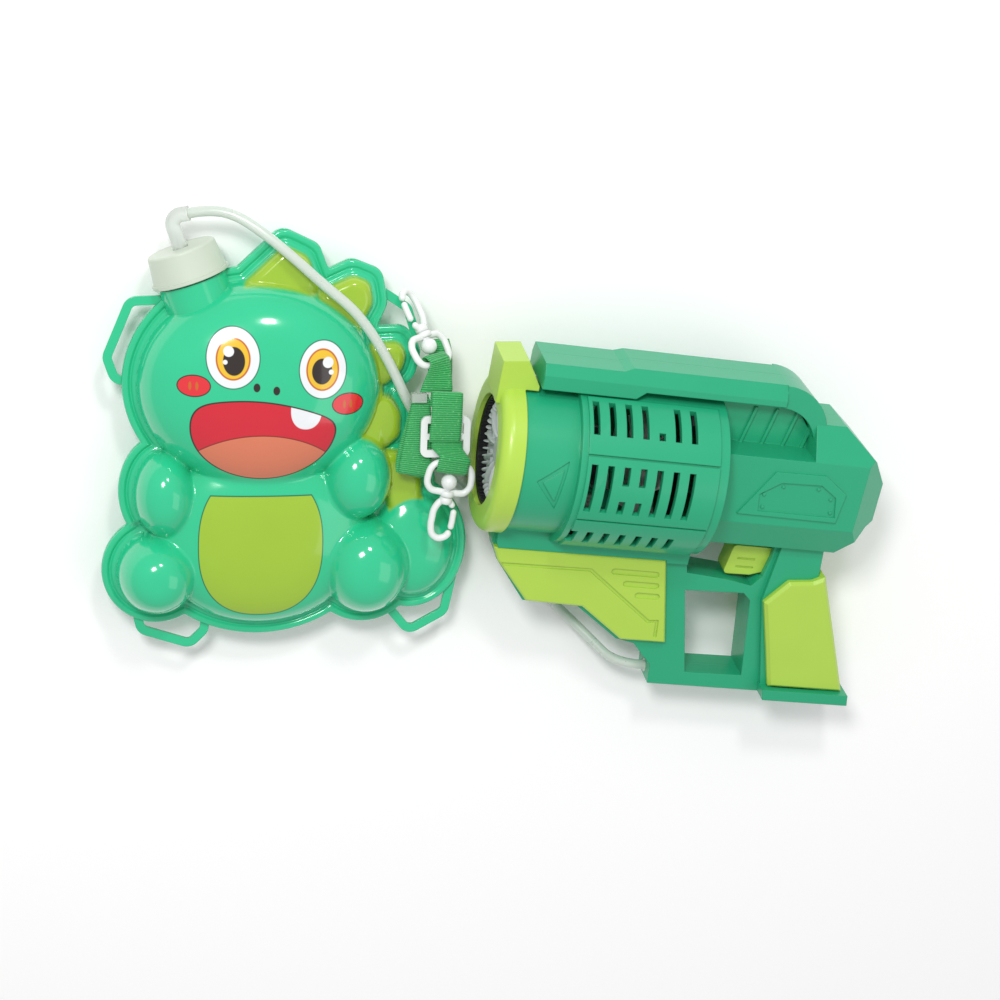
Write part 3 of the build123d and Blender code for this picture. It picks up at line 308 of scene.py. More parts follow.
def plastic(name, colour, roughness=0.3, coat=0.0, edge=0.5, wave=0.05, transmission=0.0, paint=None):
    """Moulded plastic. paint is a function that lays prints over the plain colour."""
    material, nodes, links, shader = new_material(name)
    group = nodes.new("ShaderNodeGroup")
    group.node_tree = moulded
    group.inputs["Roughness"].default_value = roughness
    group.inputs["Wave"].default_value = wave
    group.inputs["Color"].default_value = (*colour, 1)
    if paint:
        links.new(paint(nodes, links, colour), group.inputs["Color"])
    links.new(group.outputs["Color"], shader.inputs["Base Color"])
    links.new(group.outputs["Roughness"], shader.inputs["Roughness"])
    bump = nodes.new("ShaderNodeBump")
    bump.inputs["Strength"].default_value = 0.35
    bump.inputs["Distance"].default_value = 0.0006
    links.new(group.outputs["Height"], bump.inputs["Height"])
    if edge:
        soft = nodes.new("ShaderNodeBevel")
        soft.samples = 6
        soft.inputs["Radius"].default_value = edge * MM
        links.new(soft.outputs["Normal"], bump.inputs["Normal"])
    links.new(bump.outputs["Normal"], shader.inputs["Normal"])
    shader.inputs["Coat Weight"].default_value = coat
    shader.inputs["Coat Roughness"].default_value = 0.06
    shader.inputs["Transmission Weight"].default_value = transmission
    shader.inputs["IOR"].default_value = 1.46
    return material


def metal(name, colour, roughness=0.3):
    """Bright metal with fine drawing marks."""
    material, nodes, links, shader = new_material(name)
    coords = nodes.new("ShaderNodeTexCoord")
    marks = noise(nodes, links, coords, 700.0, 4.0)
    rough = math_node(nodes, links, "MULTIPLY_ADD", marks.outputs["Fac"], 0.25, roughness - 0.12)
    links.new(rough, shader.inputs["Roughness"])
    shader.inputs["Base Color"].default_value = (*colour, 1)
    shader.inputs["Metallic"].default_value = 1.0
    return material


def paint_with(material, name):
    """Give a CAD node one material."""
    mesh = frame["nodes"][name].data
    mesh.materials.clear()
    mesh.materials.append(material)


# %% Finishes of this set
GUN_GREEN = (0.016, 0.375, 0.185)
TANK_GREEN = (0.023, 0.540, 0.265)
LIME = (0.430, 0.650, 0.075)
TANK_LIME = (0.330, 0.520, 0.030)
gun_green = plastic("gun_green_plastic", GUN_GREEN, roughness=0.36, coat=0.15, edge=0.7)
tank_green = plastic("tank_green_plastic", TANK_GREEN, roughness=0.16, coat=0.6, edge=0.6, wave=0.12)
lime = plastic("lime_plastic", LIME, roughness=0.34, coat=0.15, edge=0.7)
hook_white = plastic("hook_white_plastic", (0.80, 0.83, 0.82), roughness=0.25, coat=0.3, edge=0.4)
cap_cream = plastic("cap_cream_plastic", (0.56, 0.63, 0.52), roughness=0.32, coat=0.1, edge=0.5)
neck_white = plastic("neck_white_plastic", (0.72, 0.76, 0.66), roughness=0.4)
milky = plastic("milky_tube", (0.72, 0.80, 0.72), roughness=0.28, coat=0.3, edge=0.0, transmission=0.25)
clear = plastic("clear_plastic", (0.82, 0.87, 0.82), roughness=0.12, coat=0.4, edge=0.3,
                transmission=0.55)
black = plastic("black_plastic", (0.012, 0.012, 0.013), roughness=0.35, edge=0.3)
grey = plastic("wheel_grey_plastic", (0.52, 0.56, 0.56), roughness=0.42, edge=0.25)
nylon = plastic("white_nylon", (0.75, 0.75, 0.72), roughness=0.45, edge=0.2)
cell_skin = plastic("cell_wrap", (0.03, 0.05, 0.08), roughness=0.3, coat=0.5)
steel = metal("bright_steel", (0.62, 0.62, 0.60))
hose.data.materials.append(milky)

finishes = {"tank_green": tank_green, "neck_white": neck_white, "cap_cream": cap_cream,
            "clear_plastic": clear, "hose_clear": milky, "gun_green": gun_green, "lime": lime,
            "black": black, "wheel_grey": grey, "white_gear": nylon, "steel": steel,
            "cell": cell_skin, "door_green": gun_green, "webbing": hook_white, "hook_white": hook_white}
for part in frame["record"]["subparts"]:
    paint_with(finishes[part["material_slot"]], part["node"])
paint_with(tank_green, "filler_neck")
print("materials", len(bpy.data.materials))


# %% [markdown]
# ## The tank's front
# Blow moulding gives soft hills that run into each other: a head, two arms, a belly, two feet and a
# tail, with a welded flange round them. The front is one height surface. Each hill is a rounded
# oval, and the hills are added with a high power mean, so that the higher one wins and the valley
# between two stays soft. The grid runs outwards from the middle of the body in rings to the flange.

# %% Hills and spines
FLANGE_TOP = 21.5
GROW = 8.6
lobes = {"head": (-1.0, 25.5, 57.0, 49.0, 28.5, 3.0), "left_arm": (-46.5, -28.0, 13.5, 20.0, 22.5, 2.4),
         "right_arm": (46.5, -19.5, 16.0, 20.5, 23.5, 2.4),
         "left_foot": (-50.3, -67.5, 18.0, 18.5, 27.0, 2.6),
         "right_foot": (52.0, -65.0, 20.5, 23.0, 27.0, 2.6), "belly": (0.0, -49.0, 52.0, 44.0, 18.5, 3.2),
         "tail": (76.0, -56.0, 19.0, 25.0, 11.0, 3.0)}
spines = [[(-12, 72), (10, 93), (21, 88), (28, 70)],
          [(24, 70), (43, 79), (51, 76), (53, 66), (45, 50)],
          [(48, 46), (66, 47), (70, 41), (68, 33), (58, 24)],
          [(54, 22), (63, 20), (68, 12), (68, 0), (58, -8)],
          [(56, -6), (70, -8), (79, -20), (80, -38), (64, -40)],
          [(44, 52), (56, 40), (61, 10), (60, -30), (40, -30), (40, 50)]]
SPINE_RISE = 6.5
PILLOW_GROW = 1.7


def outside_oval(x, y, lobe):
    """How far a point is outside an oval, in mm: the growth of both half axes that reaches it."""
    cx, cy, half_x, half_y = lobe[:4]
    grow = np.zeros_like(x)
    for _ in range(5):
        wide, tall = np.maximum(half_x + grow, 0.5), np.maximum(half_y + grow, 0.5)
        ratio = np.hypot((x - cx) / wide, (y - cy) / tall)
        grow = grow + (ratio - 1) * 0.5 * (wide + tall) * 0.9
        grow = np.clip(grow, -min(half_x, half_y) + 1, 200)
    return grow


def outside_outline(x, y, outline):
    """Signed distance to a closed outline: the nearest edge's distance, negative inside."""
    near = np.full(x.shape, 1e9)
    inside = np.zeros(x.shape, bool)
    for (ax, ay), (bx, by) in zip(outline, outline[1:] + outline[:1]):
        dx, dy = bx - ax, by - ay
        t = np.clip(((x - ax) * dx + (y - ay) * dy) / (dx * dx + dy * dy), 0, 1)
        near = np.minimum(near, np.hypot(x - ax - t * dx, y - ay - t * dy))
        crosses = ((ay > y) != (by > y)) & (x < (bx - ax) * (y - ay) / (by - ay + 1e-12) + ax)
        inside ^= crosses
    return np.where(inside, -near, near)


def rounded_outline(x, y, outline, radius=2.6, spokes=10):
    """The outline's distance averaged over a small circle, which rounds its corners."""
    turns = 2 * math.pi * np.arange(spokes) / spokes
    around = [outside_outline(x + radius * math.cos(a), y + radius * math.sin(a), outline) for a in turns]
    return (outside_outline(x, y, outline) + sum(around)) / (spokes + 1)


def outside_body(x, y):
    """How far a point is outside the animal's hills, and how far outside its spines."""
    ovals = [outside_oval(x, y, lobe) for lobe in lobes.values()]
    edges = [rounded_outline(x, y, spine) + 1.0 for spine in spines]
    return np.minimum.reduce(ovals), np.minimum.reduce(edges)


def front_height(x, y):
    """Height over the flange: the tenth power mean of the hills, H (1 - q^n)^(1/2) each."""
    total = np.zeros_like(x)
    for cx, cy, half_x, half_y, rise, power in lobes.values():
        q = np.hypot((x - cx) / (half_x + PILLOW_GROW), (y - cy) / (half_y + PILLOW_GROW))
        total += (rise * np.sqrt(np.clip(1 - q ** power, 0, 1))) ** 10
    for spine in spines:
        depth = np.clip(-rounded_outline(x, y, spine) / 4.5 + 0.1, 0, 1)
        total += (SPINE_RISE * np.sqrt(1 - (1 - depth) ** 2)) ** 10
    return total ** 0.1


def flange_height(inwards):
    """The flange's own relief by distance from its edge: a rounded lip, a groove and a bead."""
    edge = np.clip(inwards / 1.3, 0, 1)
    lip = -1.3 * (1 - np.sqrt(1 - (1 - edge) ** 2))
    groove = -1.3 * np.exp(-((inwards - 4.0) / 0.75) ** 2)
    bead = 0.5 * np.exp(-((inwards - 6.3) / 1.0) ** 2)
    return lip + groove + bead


# %% The ring grid
CENTRE = (2.0, -14.0)
RINGS, SPOKES = 150, 640
theta = np.linspace(0, 2 * np.pi, SPOKES, endpoint=False)
reach = np.arange(20, 150, 0.25)
ray_x = CENTRE[0] + reach[:, None] * np.cos(theta)[None]
ray_y = CENTRE[1] + reach[:, None] * np.sin(theta)[None]
inside_flange = np.minimum(*outside_body(ray_x, ray_y)) < GROW
edge_at = reach[len(reach) - 1 - np.argmax(inside_flange[::-1], axis=0)]
smooth_edge = sum(np.roll(edge_at, k) for k in (-1, 0, 1)) / 3
share = np.linspace(0, 1, RINGS)[1:] ** 0.9
gx = CENTRE[0] + share[:, None] * smooth_edge[None] * np.cos(theta)[None]
gy = CENTRE[1] + share[:, None] * smooth_edge[None] * np.sin(theta)[None]
oval_gap, spine_gap = outside_body(gx, gy)
inwards = GROW - np.minimum(oval_gap, spine_gap)
gz = FLANGE_TOP + flange_height(np.clip(inwards, 0, 30)) + front_height(gx, gy)
rings = np.stack([gx, gy, gz], -1)
skirt = rings[-1].copy()
skirt[:, 2] = SEAM_Z + 0.03
top_middle = np.array([[CENTRE[0], CENTRE[1], FLANGE_TOP + float(front_height(
    np.array([CENTRE[0]]), np.array([CENTRE[1]]))[0])]])
under_middle = np.array([[CENTRE[0], CENTRE[1], SEAM_Z + 0.03]])
front_points = np.concatenate([rings.reshape(-1, 3), skirt, top_middle, under_middle]) + TANK_AT
front_faces = grid_faces(RINGS, SPOKES, wrap_columns=True)
number = np.arange(SPOKES)
following = (number + 1) % SPOKES
middle, under = RINGS * SPOKES, RINGS * SPOKES + 1
front_faces += np.stack([np.full(SPOKES, middle), number, following], -1).tolist()
low = (RINGS - 1) * SPOKES
front_faces += np.stack([np.full(SPOKES, under), low + following, low + number], -1).tolist()
tank_front = point_outwards(new_piece("tank_front", front_points, front_faces))
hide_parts("tank_front_shell")
print("tank front", len(tank_front.data.polygons), "faces, top", round(float(gz.max()), 1), "mm")

# %% Where the spines are lime
where = np.empty(len(tank_front.data.vertices) * 3)
tank_front.data.vertices.foreach_get("co", where)
where = where.reshape(-1, 3) / MM - TANK_AT
oval_gap, spine_gap = outside_body(where[:, 0], where[:, 1])
on_spine = np.clip(0.5 - (spine_gap - 1.4) / 1.0, 0, 1) * np.clip(0.5 + (oval_gap + 0.3) / 1.2, 0, 1)
lime_share = tank_front.data.attributes.new("lime", "FLOAT", "POINT")
lime_share.data.foreach_set("value", on_spine.astype(np.float32))


# %% [markdown]
# ## The printed face
# The eyes, nostrils, cheeks, mouth and belly are pad printed. A print is a mask worked out from
# Object coordinates: an oval mask is the length of the offset divided by the oval's radii, turned
# into a soft edge about a fifth of a millimetre wide. The mouth is an oval cut by a low arch.

# %% Oval mask group
oval_mask, given, result = new_group(
    "oval_mask",
    [("Position", "NodeSocketVector", (0, 0, 0)), ("Centre", "NodeSocketVector", (0, 0, 0)),
     ("Radii", "NodeSocketVector", (1, 1, 1)), ("Softness", "NodeSocketFloat", 0.3),
     ("Power", "NodeSocketFloat", 2.0)],
    [("Mask", "NodeSocketFloat"), ("Outside", "NodeSocketFloat")])
nodes, links = oval_mask.nodes, oval_mask.links


def vector_node(nodes, links, operation, a, b=None):
    """A Vector Math node whose inputs are sockets or triples."""
    node = nodes.new("ShaderNodeVectorMath")
    node.operation = operation
    for index, value in enumerate((a, b)):
        if value is None:
            continue
        if isinstance(value, tuple):
            node.inputs[index].default_value = value
        else:
            links.new(value, node.inputs[index])
    return node


offset = vector_node(nodes, links, "SUBTRACT", given.outputs["Position"], given.outputs["Centre"])
scaled = vector_node(nodes, links, "DIVIDE", offset.outputs[0], given.outputs["Radii"])
share_xy = nodes.new("ShaderNodeSeparateXYZ")
links.new(scaled.outputs[0], share_xy.inputs[0])
powers = [math_node(nodes, links, "POWER", math_node(nodes, links, "ABSOLUTE", share_xy.outputs[axis]),
                    given.outputs["Power"]) for axis in "XY"]
power_sum = math_node(nodes, links, "ADD", *powers)
size_ratio = math_node(nodes, links, "POWER", power_sum,
                       math_node(nodes, links, "DIVIDE", 1.0, given.outputs["Power"]))
radii = nodes.new("ShaderNodeSeparateXYZ")
links.new(given.outputs["Radii"], radii.inputs[0])
gap = math_node(nodes, links, "MULTIPLY", math_node(nodes, links, "SUBTRACT", size_ratio, 1.0),
                radii.outputs["X"])
links.new(gap, result.inputs["Outside"])
soft = math_node(nodes, links, "DIVIDE", gap, given.outputs["Softness"])
links.new(math_node(nodes, links, "SUBTRACT", 0.5, soft, clamp=True), result.inputs["Mask"])

# %% Prints
PRINT_AT = (8.46, -23.15)                  # the face's own layout, moved into the frame
EYES = [((-140.9, 83.6), (12.2, 14.2), (-140.9, 83.1), (7.7, 9.6), (-140.5, 82.1), (5.1, 6.7),
         (-143.0, 86.7), 2.5, (-144.6, 81.7), 1.1),
        ((-98.5, 77.9), (11.2, 13.5), (-98.7, 77.9), (7.6, 9.6), (-99.0, 77.1), (4.9, 6.1),
         (-96.1, 81.3), 2.6, (-94.6, 76.7), 1.2)]
BELLY = (-126.0, -11.0)
BELLY_SIZE = (29.8, 36.4)
BELLY_TOP = 13.7
MOUTH = ((-126.0, 50.0), (34.2, 26.5))
MOUTH_CORNER = 9.0
ARCH_MIDDLE, ARCH_TOP, ARCH_BOW = -136.0, 62.8, -0.0052
TONGUE_AT = (-127.0, 20.0)
TONGUE_SIZE = (40.0, 26.0)
TOOTH = ((-106.2, 58.6), (7.4, 9.3))
RIM = 0.5                                  # the width of a print's outline
CHEEKS = [((-159.0, 70.1), (7.4, 4.8)), ((-86.0, 60.9), (7.5, 5.0))]
NOSTRILS = [(-129.8, 69.7), (-120.5, 68.2)]
DARK = (0.020, 0.012, 0.010)
RED = (0.62, 0.012, 0.030)
TONGUE = (0.68, 0.19, 0.10)
TONGUE_RIM = (0.25, 0.02, 0.015)
WHITE = (0.80, 0.82, 0.84)
YELLOW = (0.80, 0.50, 0.025)
ORANGE = (0.55, 0.13, 0.01)
CHEEK_RED = (0.72, 0.025, 0.035)
OUTLINE_GREEN = (0.004, 0.14, 0.07)


def lay(nodes, links, under, mask, colour):
    """Lay a plain colour over another where the mask is 1."""
    mix = nodes.new("ShaderNodeMix")
    mix.data_type = "RGBA"
    socket = {each.identifier: each for each in [*mix.inputs, *mix.outputs]}
    links.new(mask, socket["Factor_Float"])
    links.new(under, socket["A_Color"])
    socket["B_Color"].default_value = (*colour, 1)
    return socket["Result_Color"]


def tank_prints(nodes, links, base):
    """All the prints of the tank's front, laid over its green one after the other."""
    coords = nodes.new("ShaderNodeTexCoord")
    position = nodes.new("ShaderNodeVectorMath")
    position.operation = "SCALE"
    links.new(coords.outputs["Object"], position.inputs[0])
    position.inputs["Scale"].default_value = 1000.0
    axes = nodes.new("ShaderNodeSeparateXYZ")
    links.new(position.outputs[0], axes.inputs[0])
    x, y = axes.outputs["X"], axes.outputs["Y"]

    def oval(centre, radii, power=2.0, output="Mask"):
        group = nodes.new("ShaderNodeGroup")
        group.node_tree = oval_mask
        links.new(position.outputs[0], group.inputs["Position"])
        group.inputs["Centre"].default_value = (centre[0] + PRINT_AT[0], centre[1] + PRINT_AT[1], 0)
        group.inputs["Radii"].default_value = (*radii, 1.0)
        group.inputs["Power"].default_value = power
        return group.outputs[output]

    def below(top):
        """1 below a level edge, through a third of a millimetre to 0 above it."""
        return math_node(nodes, links, "MULTIPLY_ADD", y, -3.0, 3.0 * (top + PRINT_AT[1]) + 0.5, clamp=True)

    def both(a, b):
        return math_node(nodes, links, "MULTIPLY", a, b)

    def mouth_shape(grow):
        """An oval under the arch y = top - bow (x - middle) squared, with its corners rounded."""
        off = math_node(nodes, links, "SUBTRACT", x, ARCH_MIDDLE + PRINT_AT[0])
        square = math_node(nodes, links, "MULTIPLY", off, off)
        arch = math_node(nodes, links, "MULTIPLY_ADD", square, ARCH_BOW, ARCH_TOP + PRINT_AT[1])
        over = math_node(nodes, links, "SUBTRACT", y, arch)
        beside = oval(*MOUTH, output="Outside")
        outside = math_node(nodes, links, "SMOOTH_MAX", over, beside, MOUTH_CORNER)
        return math_node(nodes, links, "MULTIPLY_ADD", outside, -3.0, 0.5 + 3.0 * grow, clamp=True)

    plain = nodes.new("ShaderNodeRGB")
    plain.outputs[0].default_value = (*base, 1)
    colour = plain.outputs[0]
    spine = nodes.new("ShaderNodeAttribute")
    spine.attribute_name = "lime"
    colour = lay(nodes, links, colour, spine.outputs["Fac"], TANK_LIME)
    for grow, lift, ink in ((RIM, 0.6, OUTLINE_GREEN), (0.0, 0.0, TANK_LIME)):
        rounded = oval(BELLY, (BELLY_SIZE[0] + grow, BELLY_SIZE[1] + grow), 2.4)
        patch = both(rounded, below(BELLY_TOP + lift))
        colour = lay(nodes, links, colour, patch, ink)
    for white, w_size, iris, i_size, pupil, p_size, glint, g_size, spark, s_size in EYES:
        colour = lay(nodes, links, colour, oval(white, (w_size[0] + RIM, w_size[1] + RIM)), OUTLINE_GREEN)
        colour = lay(nodes, links, colour, oval(white, w_size), WHITE)
        colour = lay(nodes, links, colour, oval(iris, (i_size[0] + 0.4, i_size[1] + 0.4)), ORANGE)
        colour = lay(nodes, links, colour, oval(iris, (i_size[0] - 0.4, i_size[1] - 0.4)), YELLOW)
        colour = lay(nodes, links, colour, oval(pupil, p_size), DARK)
        colour = lay(nodes, links, colour, oval(glint, (g_size, g_size)), WHITE)
        colour = lay(nodes, links, colour, oval(spark, (s_size, s_size)), WHITE)
    for centre, size in CHEEKS:
        colour = lay(nodes, links, colour, oval(centre, (size[0] + RIM, size[1] + RIM)), DARK)
        colour = lay(nodes, links, colour, oval(centre, size), CHEEK_RED)
        for step in (-1.8, 1.4):
            colour = lay(nodes, links, colour, oval((centre[0] + step, centre[1]), (0.7, 2.0)), ORANGE)
    for centre in NOSTRILS:
        colour = lay(nodes, links, colour, oval(centre, (1.6, 2.1)), DARK)
    mouth = mouth_shape(0.0)
    colour = lay(nodes, links, colour, mouth_shape(0.7), DARK)
    colour = lay(nodes, links, colour, mouth, RED)
    for grow, ink in ((0.6, TONGUE_RIM), (0.0, TONGUE)):
        tongue = oval(TONGUE_AT, (TONGUE_SIZE[0] + grow, TONGUE_SIZE[1] + grow))
        colour = lay(nodes, links, colour, both(mouth, tongue), ink)
    return lay(nodes, links, colour, both(mouth, oval(*TOOTH, 2.2)), WHITE)


printed_tank = plastic("printed_tank_plastic", TANK_GREEN, roughness=0.15, coat=0.7, edge=0.0,
                       wave=0.15, paint=tank_prints)
tank_front.data.materials.append(printed_tank)
print("prints laid")


# %% [markdown]
# ## The strap's webbing
# A folded strap of ribbed polyester webbing, 15.5 mm wide, hangs between two snap hooks. Each
# stretch is a ribbon: pairs of left and right edge points joined by smooth curves. Webbing like this
# has ribs about a millimetre apart across its length. They are real relief here, and the colour also
# follows them, painted darker in the grooves and lighter on the crests, which is painted shade.

# %% Ribbons
RIB = 1.05
WEB_W = 15.5
WEB_T = 1.3


def smooth_rows(rows, steps=24):
    """A Catmull-Rom curve through the rows: each span is the cubic with slopes (next - last) / 2."""
    p = np.asarray(rows, float)
    p = np.concatenate([2 * p[:1] - p[1:2], p, 2 * p[-1:] - p[-2:-1]])
    t = np.linspace(0, 1, steps, endpoint=False).reshape(-1, 1, 1)
    spans = [p[i] + 0.5 * t * (p[i + 1] - p[i - 1])
             + t * t * (p[i - 1] - 2.5 * p[i] + 2 * p[i + 1] - 0.5 * p[i + 2])
             + t ** 3 * (-0.5 * p[i - 1] + 1.5 * p[i] - 1.5 * p[i + 1] + 0.5 * p[i + 2])
             for i in range(1, len(p) - 2)]
    return np.concatenate([*spans, p[-2:-1]])


def ribbon(name, rows, stands_for=None, crown=0.0):
    """Webbing between left and right edges: a flat ring of points carried along the middle line.

    The half thickness is (0.5 T + 0.09 |sin(pi s / rib)|) (1 - |2 v - 1|^6)^(1/2), s along and v across.
    """
    edges = smooth_rows(rows)
    middle_line = edges.mean(axis=1)
    along = np.r_[0, np.cumsum(np.linalg.norm(np.diff(middle_line, axis=0), axis=1))]
    s = np.arange(0, along[-1], RIB / 5)
    flat_edges = edges.reshape(len(edges), -1)
    even = np.stack([np.interp(s, along, flat_edges[:, k]) for k in range(6)], -1).reshape(-1, 2, 3)
    left, right_edge = even[:, 0], even[:, 1]
    forward = np.gradient(even.mean(axis=1), axis=0)
    normal = np.cross(right_edge - left, forward)
    normal /= np.linalg.norm(normal, axis=1, keepdims=True)
    v = np.linspace(0, 1, 12)
    across = left[:, None] + (right_edge - left)[:, None] * v[None, :, None]
    thick = WEB_T / 2 - 0.09 + 0.09 * np.abs(np.sin(math.pi * s / RIB))
    round_edge = np.sqrt(1 - np.abs(2 * v - 1) ** 6)
    half = (thick[:, None] * np.maximum(round_edge, 0.25)[None])[..., None] * normal[:, None]
    arch = (crown * (1 - (2 * v - 1) ** 2))[None, :, None] * normal[:, None]
    ring = np.concatenate([across + half + arch, (across - half + arch)[:, ::-1]], axis=1)
    around = ring.shape[1]
    faces = grid_faces(len(s), around, wrap_columns=True)
    last = (len(s) - 1) * around
    faces += [list(range(around))[::-1], list(range(last, last + around))]
    piece = new_piece(name, ring.reshape(-1, 3), faces)
    u_map = np.repeat(s * MM, around)
    v_map = np.tile(np.r_[v, v[::-1]] * WEB_W * MM, len(s))
    layer = piece.data.uv_layers.new(name="webbing")
    corner = np.empty(len(piece.data.loops), dtype=np.int64)
    piece.data.loops.foreach_get("vertex_index", corner)
    layer.data.foreach_set("uv", np.stack([u_map[corner], v_map[corner]], -1).astype(np.float32).ravel())
    point_outwards(piece)
    piece.data.materials.append(webbing)
    if stands_for:
        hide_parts(stands_for)


# %% The webbing's material
webbing, nodes, links, shader = new_material("green_webbing")
uv = nodes.new("ShaderNodeUVMap")
uv.uv_map = "webbing"
parts = nodes.new("ShaderNodeSeparateXYZ")
links.new(uv.outputs[0], parts.inputs[0])
turns = math_node(nodes, links, "MULTIPLY", parts.outputs["X"], math.pi / (RIB * MM))
rib = math_node(nodes, links, "ABSOLUTE", math_node(nodes, links, "SINE", turns))
stretch = nodes.new("ShaderNodeMapping")
stretch.inputs["Scale"].default_value = (2600.0, 700.0, 1.0)
links.new(uv.outputs[0], stretch.inputs["Vector"])
thread = nodes.new("ShaderNodeTexNoise")
thread.inputs["Scale"].default_value = 1.0
thread.inputs["Detail"].default_value = 3.0
links.new(stretch.outputs[0], thread.inputs["Vector"])
# The ramp mixes the threads' random tone with painted shade: the rib wave darkens the grooves and lightens
# the crests.
thread_tone_and_rib_shade = nodes.new("ShaderNodeValToRGB")
thread_tone_and_rib_shade.color_ramp.elements[0].position = 0.10
thread_tone_and_rib_shade.color_ramp.elements[0].color = (0.008, 0.15, 0.035, 1)
thread_tone_and_rib_shade.color_ramp.elements[1].position = 0.75
thread_tone_and_rib_shade.color_ramp.elements[1].color = (0.035, 0.46, 0.12, 1)
# The rib term here is painted shade: darker colour in the grooves between ribs, lighter on their crests.
links.new(math_node(nodes, links, "MULTIPLY_ADD", thread.outputs["Fac"], 0.5,
                    math_node(nodes, links, "MULTIPLY_ADD", rib, 0.75, -0.2)), thread_tone_and_rib_shade.inputs["Fac"])
speck = math_node(nodes, links, "MULTIPLY_ADD", thread.outputs["Fac"], 7.0, -4.35, clamp=True)
links.new(lay(nodes, links, thread_tone_and_rib_shade.outputs["Color"], speck, (0.42, 0.72, 0.45)), shader.inputs["Base Color"])
weave = nodes.new("ShaderNodeBump")
weave.inputs["Strength"].default_value = 0.6
weave.inputs["Distance"].default_value = 0.0003
links.new(math_node(nodes, links, "MULTIPLY_ADD", thread.outputs["Fac"], 0.5, rib), weave.inputs["Height"])
links.new(weave.outputs["Normal"], shader.inputs["Normal"])
shader.inputs["Roughness"].default_value = 0.55
shader.inputs["Sheen Weight"].default_value = 0.25

# %% Hook frames
UPPER_HOOK = (np.array([-37.7, 58.2, 33.0]), np.array([-0.396, 0.918, -0.42]))
UPPER_EYE_TURN = math.radians(38.0)
LOWER_HOOK = (np.array([-27.5, -6.9, 44.6]), np.array([-0.139, -0.99, -0.06]))


def in_hook(hook, points, turn=0.0):
    """Points from a hook's own axes to the set's layout: y along the hook, z up, then turned about y."""
    ball, way = hook
    y_axis = way / np.linalg.norm(way)
    up_axis = np.array([0, 0, 1.0]) - y_axis * y_axis[2]
    up_axis /= np.linalg.norm(up_axis)
    side = np.cross(y_axis, up_axis)
    z_axis = up_axis * math.cos(turn) + side * math.sin(turn)
    axes = np.stack([np.cross(y_axis, z_axis), y_axis, z_axis])
    return np.asarray(points, float) @ axes + ball


def round_the_bar(hook, half_width, layers, turn=0.0):
    """Edge rows where webbing passes through a hook's eye: y and z of each row in the hook's axes."""
    rows = np.array([[[-half_width, y, z], [half_width, y, z]] for y, z in layers])
    return in_hook(hook, rows.reshape(-1, 3), turn).reshape(-1, 2, 3)


EYE_FOLD = [(-12.6, -2.9), (-9.5, -2.75), (-7.0, -2.5), (-5.4, -1.5), (-4.9, 0.0), (-5.4, 1.5),
            (-7.0, 2.5), (-9.8, 2.75), (-13.0, 2.6)]


def shifted(rows):
    """Rows of the set's layout moved to the frame."""
    return np.asarray(rows, float).reshape(-1, 2, 3) + SHIFT


# %% The six stretches of webbing
upper_fold = round_the_bar(UPPER_HOOK, 6.6, EYE_FOLD[1:-1], UPPER_EYE_TURN)
to_upper = np.concatenate([upper_fold, np.array([
    [(-41.6, 40.0, 39.7), (-26.6, 39.6, 39.7)],
    [(-42.3, 36.8, 39.4), (-27.0, 36.8, 39.4)]])])
ribbon("strap_to_upper_hook", shifted(to_upper), "strap_upper_end")
ribbon("strap_behind", shifted([
    [(-37.4, 36.2, 30.2), (-25.4, 36.2, 30.2)], [(-37.0, 45.0, 29.0), (-25.0, 45.0, 29.0)],
    [(-36.4, 54.0, 27.4), (-25.2, 54.4, 27.4)], [(-36.2, 60.2, 26.2), (-26.6, 60.6, 26.2)]]),
    "strap_back_fold")
ribbon("strap_wedge", shifted([
    [(-45.9, 36.0, 39.7), (-38.4, 36.0, 39.7)], [(-46.4, 30.0, 39.9), (-37.0, 30.2, 40.0)],
    [(-48.6, 18.0, 40.2), (-36.4, 18.4, 40.4)], [(-50.8, 6.0, 40.4), (-35.9, 5.0, 40.8)],
    [(-51.6, -1.0, 40.3), (-35.7, -3.6, 40.6)], [(-51.9, -3.4, 39.4), (-35.8, -6.0, 39.4)]]),
    "strap_bundle", crown=0.4)
ribbon("strap_wedge_side", shifted([
    [(-46.2, 31.5, 38.5), (-37.5, 32.0, 38.5)], [(-49.2, 20.0, 38.6), (-38.0, 21.0, 38.6)],
    [(-52.2, 8.0, 38.6), (-39.5, 7.0, 38.6)], [(-53.2, 0.5, 38.6), (-40.0, -3.5, 38.6)],
    [(-52.8, -3.2, 38.6), (-40.2, -6.4, 38.6)]]))
ribbon("strap_over_adjuster", shifted([
    [(-38.0, 30.5, 43.2), (-22.6, 30.0, 43.2)], [(-37.8, 36.4, 43.2), (-22.5, 35.8, 43.2)],
    [(-37.6, 38.2, 44.4), (-22.4, 37.4, 44.4)], [(-37.5, 36.8, 46.0), (-22.4, 36.0, 46.0)],
    [(-37.6, 30.0, 46.6), (-22.5, 29.6, 46.6)], [(-37.9, 22.0, 46.7), (-22.7, 21.6, 46.7)],
    [(-38.2, 16.0, 46.4), (-22.9, 15.6, 46.4)], [(-38.3, 13.7, 45.6), (-23.0, 13.3, 45.6)]]),
    "strap_front", crown=0.3)
lower_fold = round_the_bar(LOWER_HOOK, WEB_W / 2, EYE_FOLD)
to_lower = np.concatenate([lower_fold, np.array([
    [(-21.5, 10.2, 45.0), (-36.6, 10.4, 45.0)], [(-21.6, 13.8, 44.7), (-36.8, 14.0, 44.7)]])])
ribbon("strap_to_lower_hook", shifted(to_lower), "strap_lower_end")


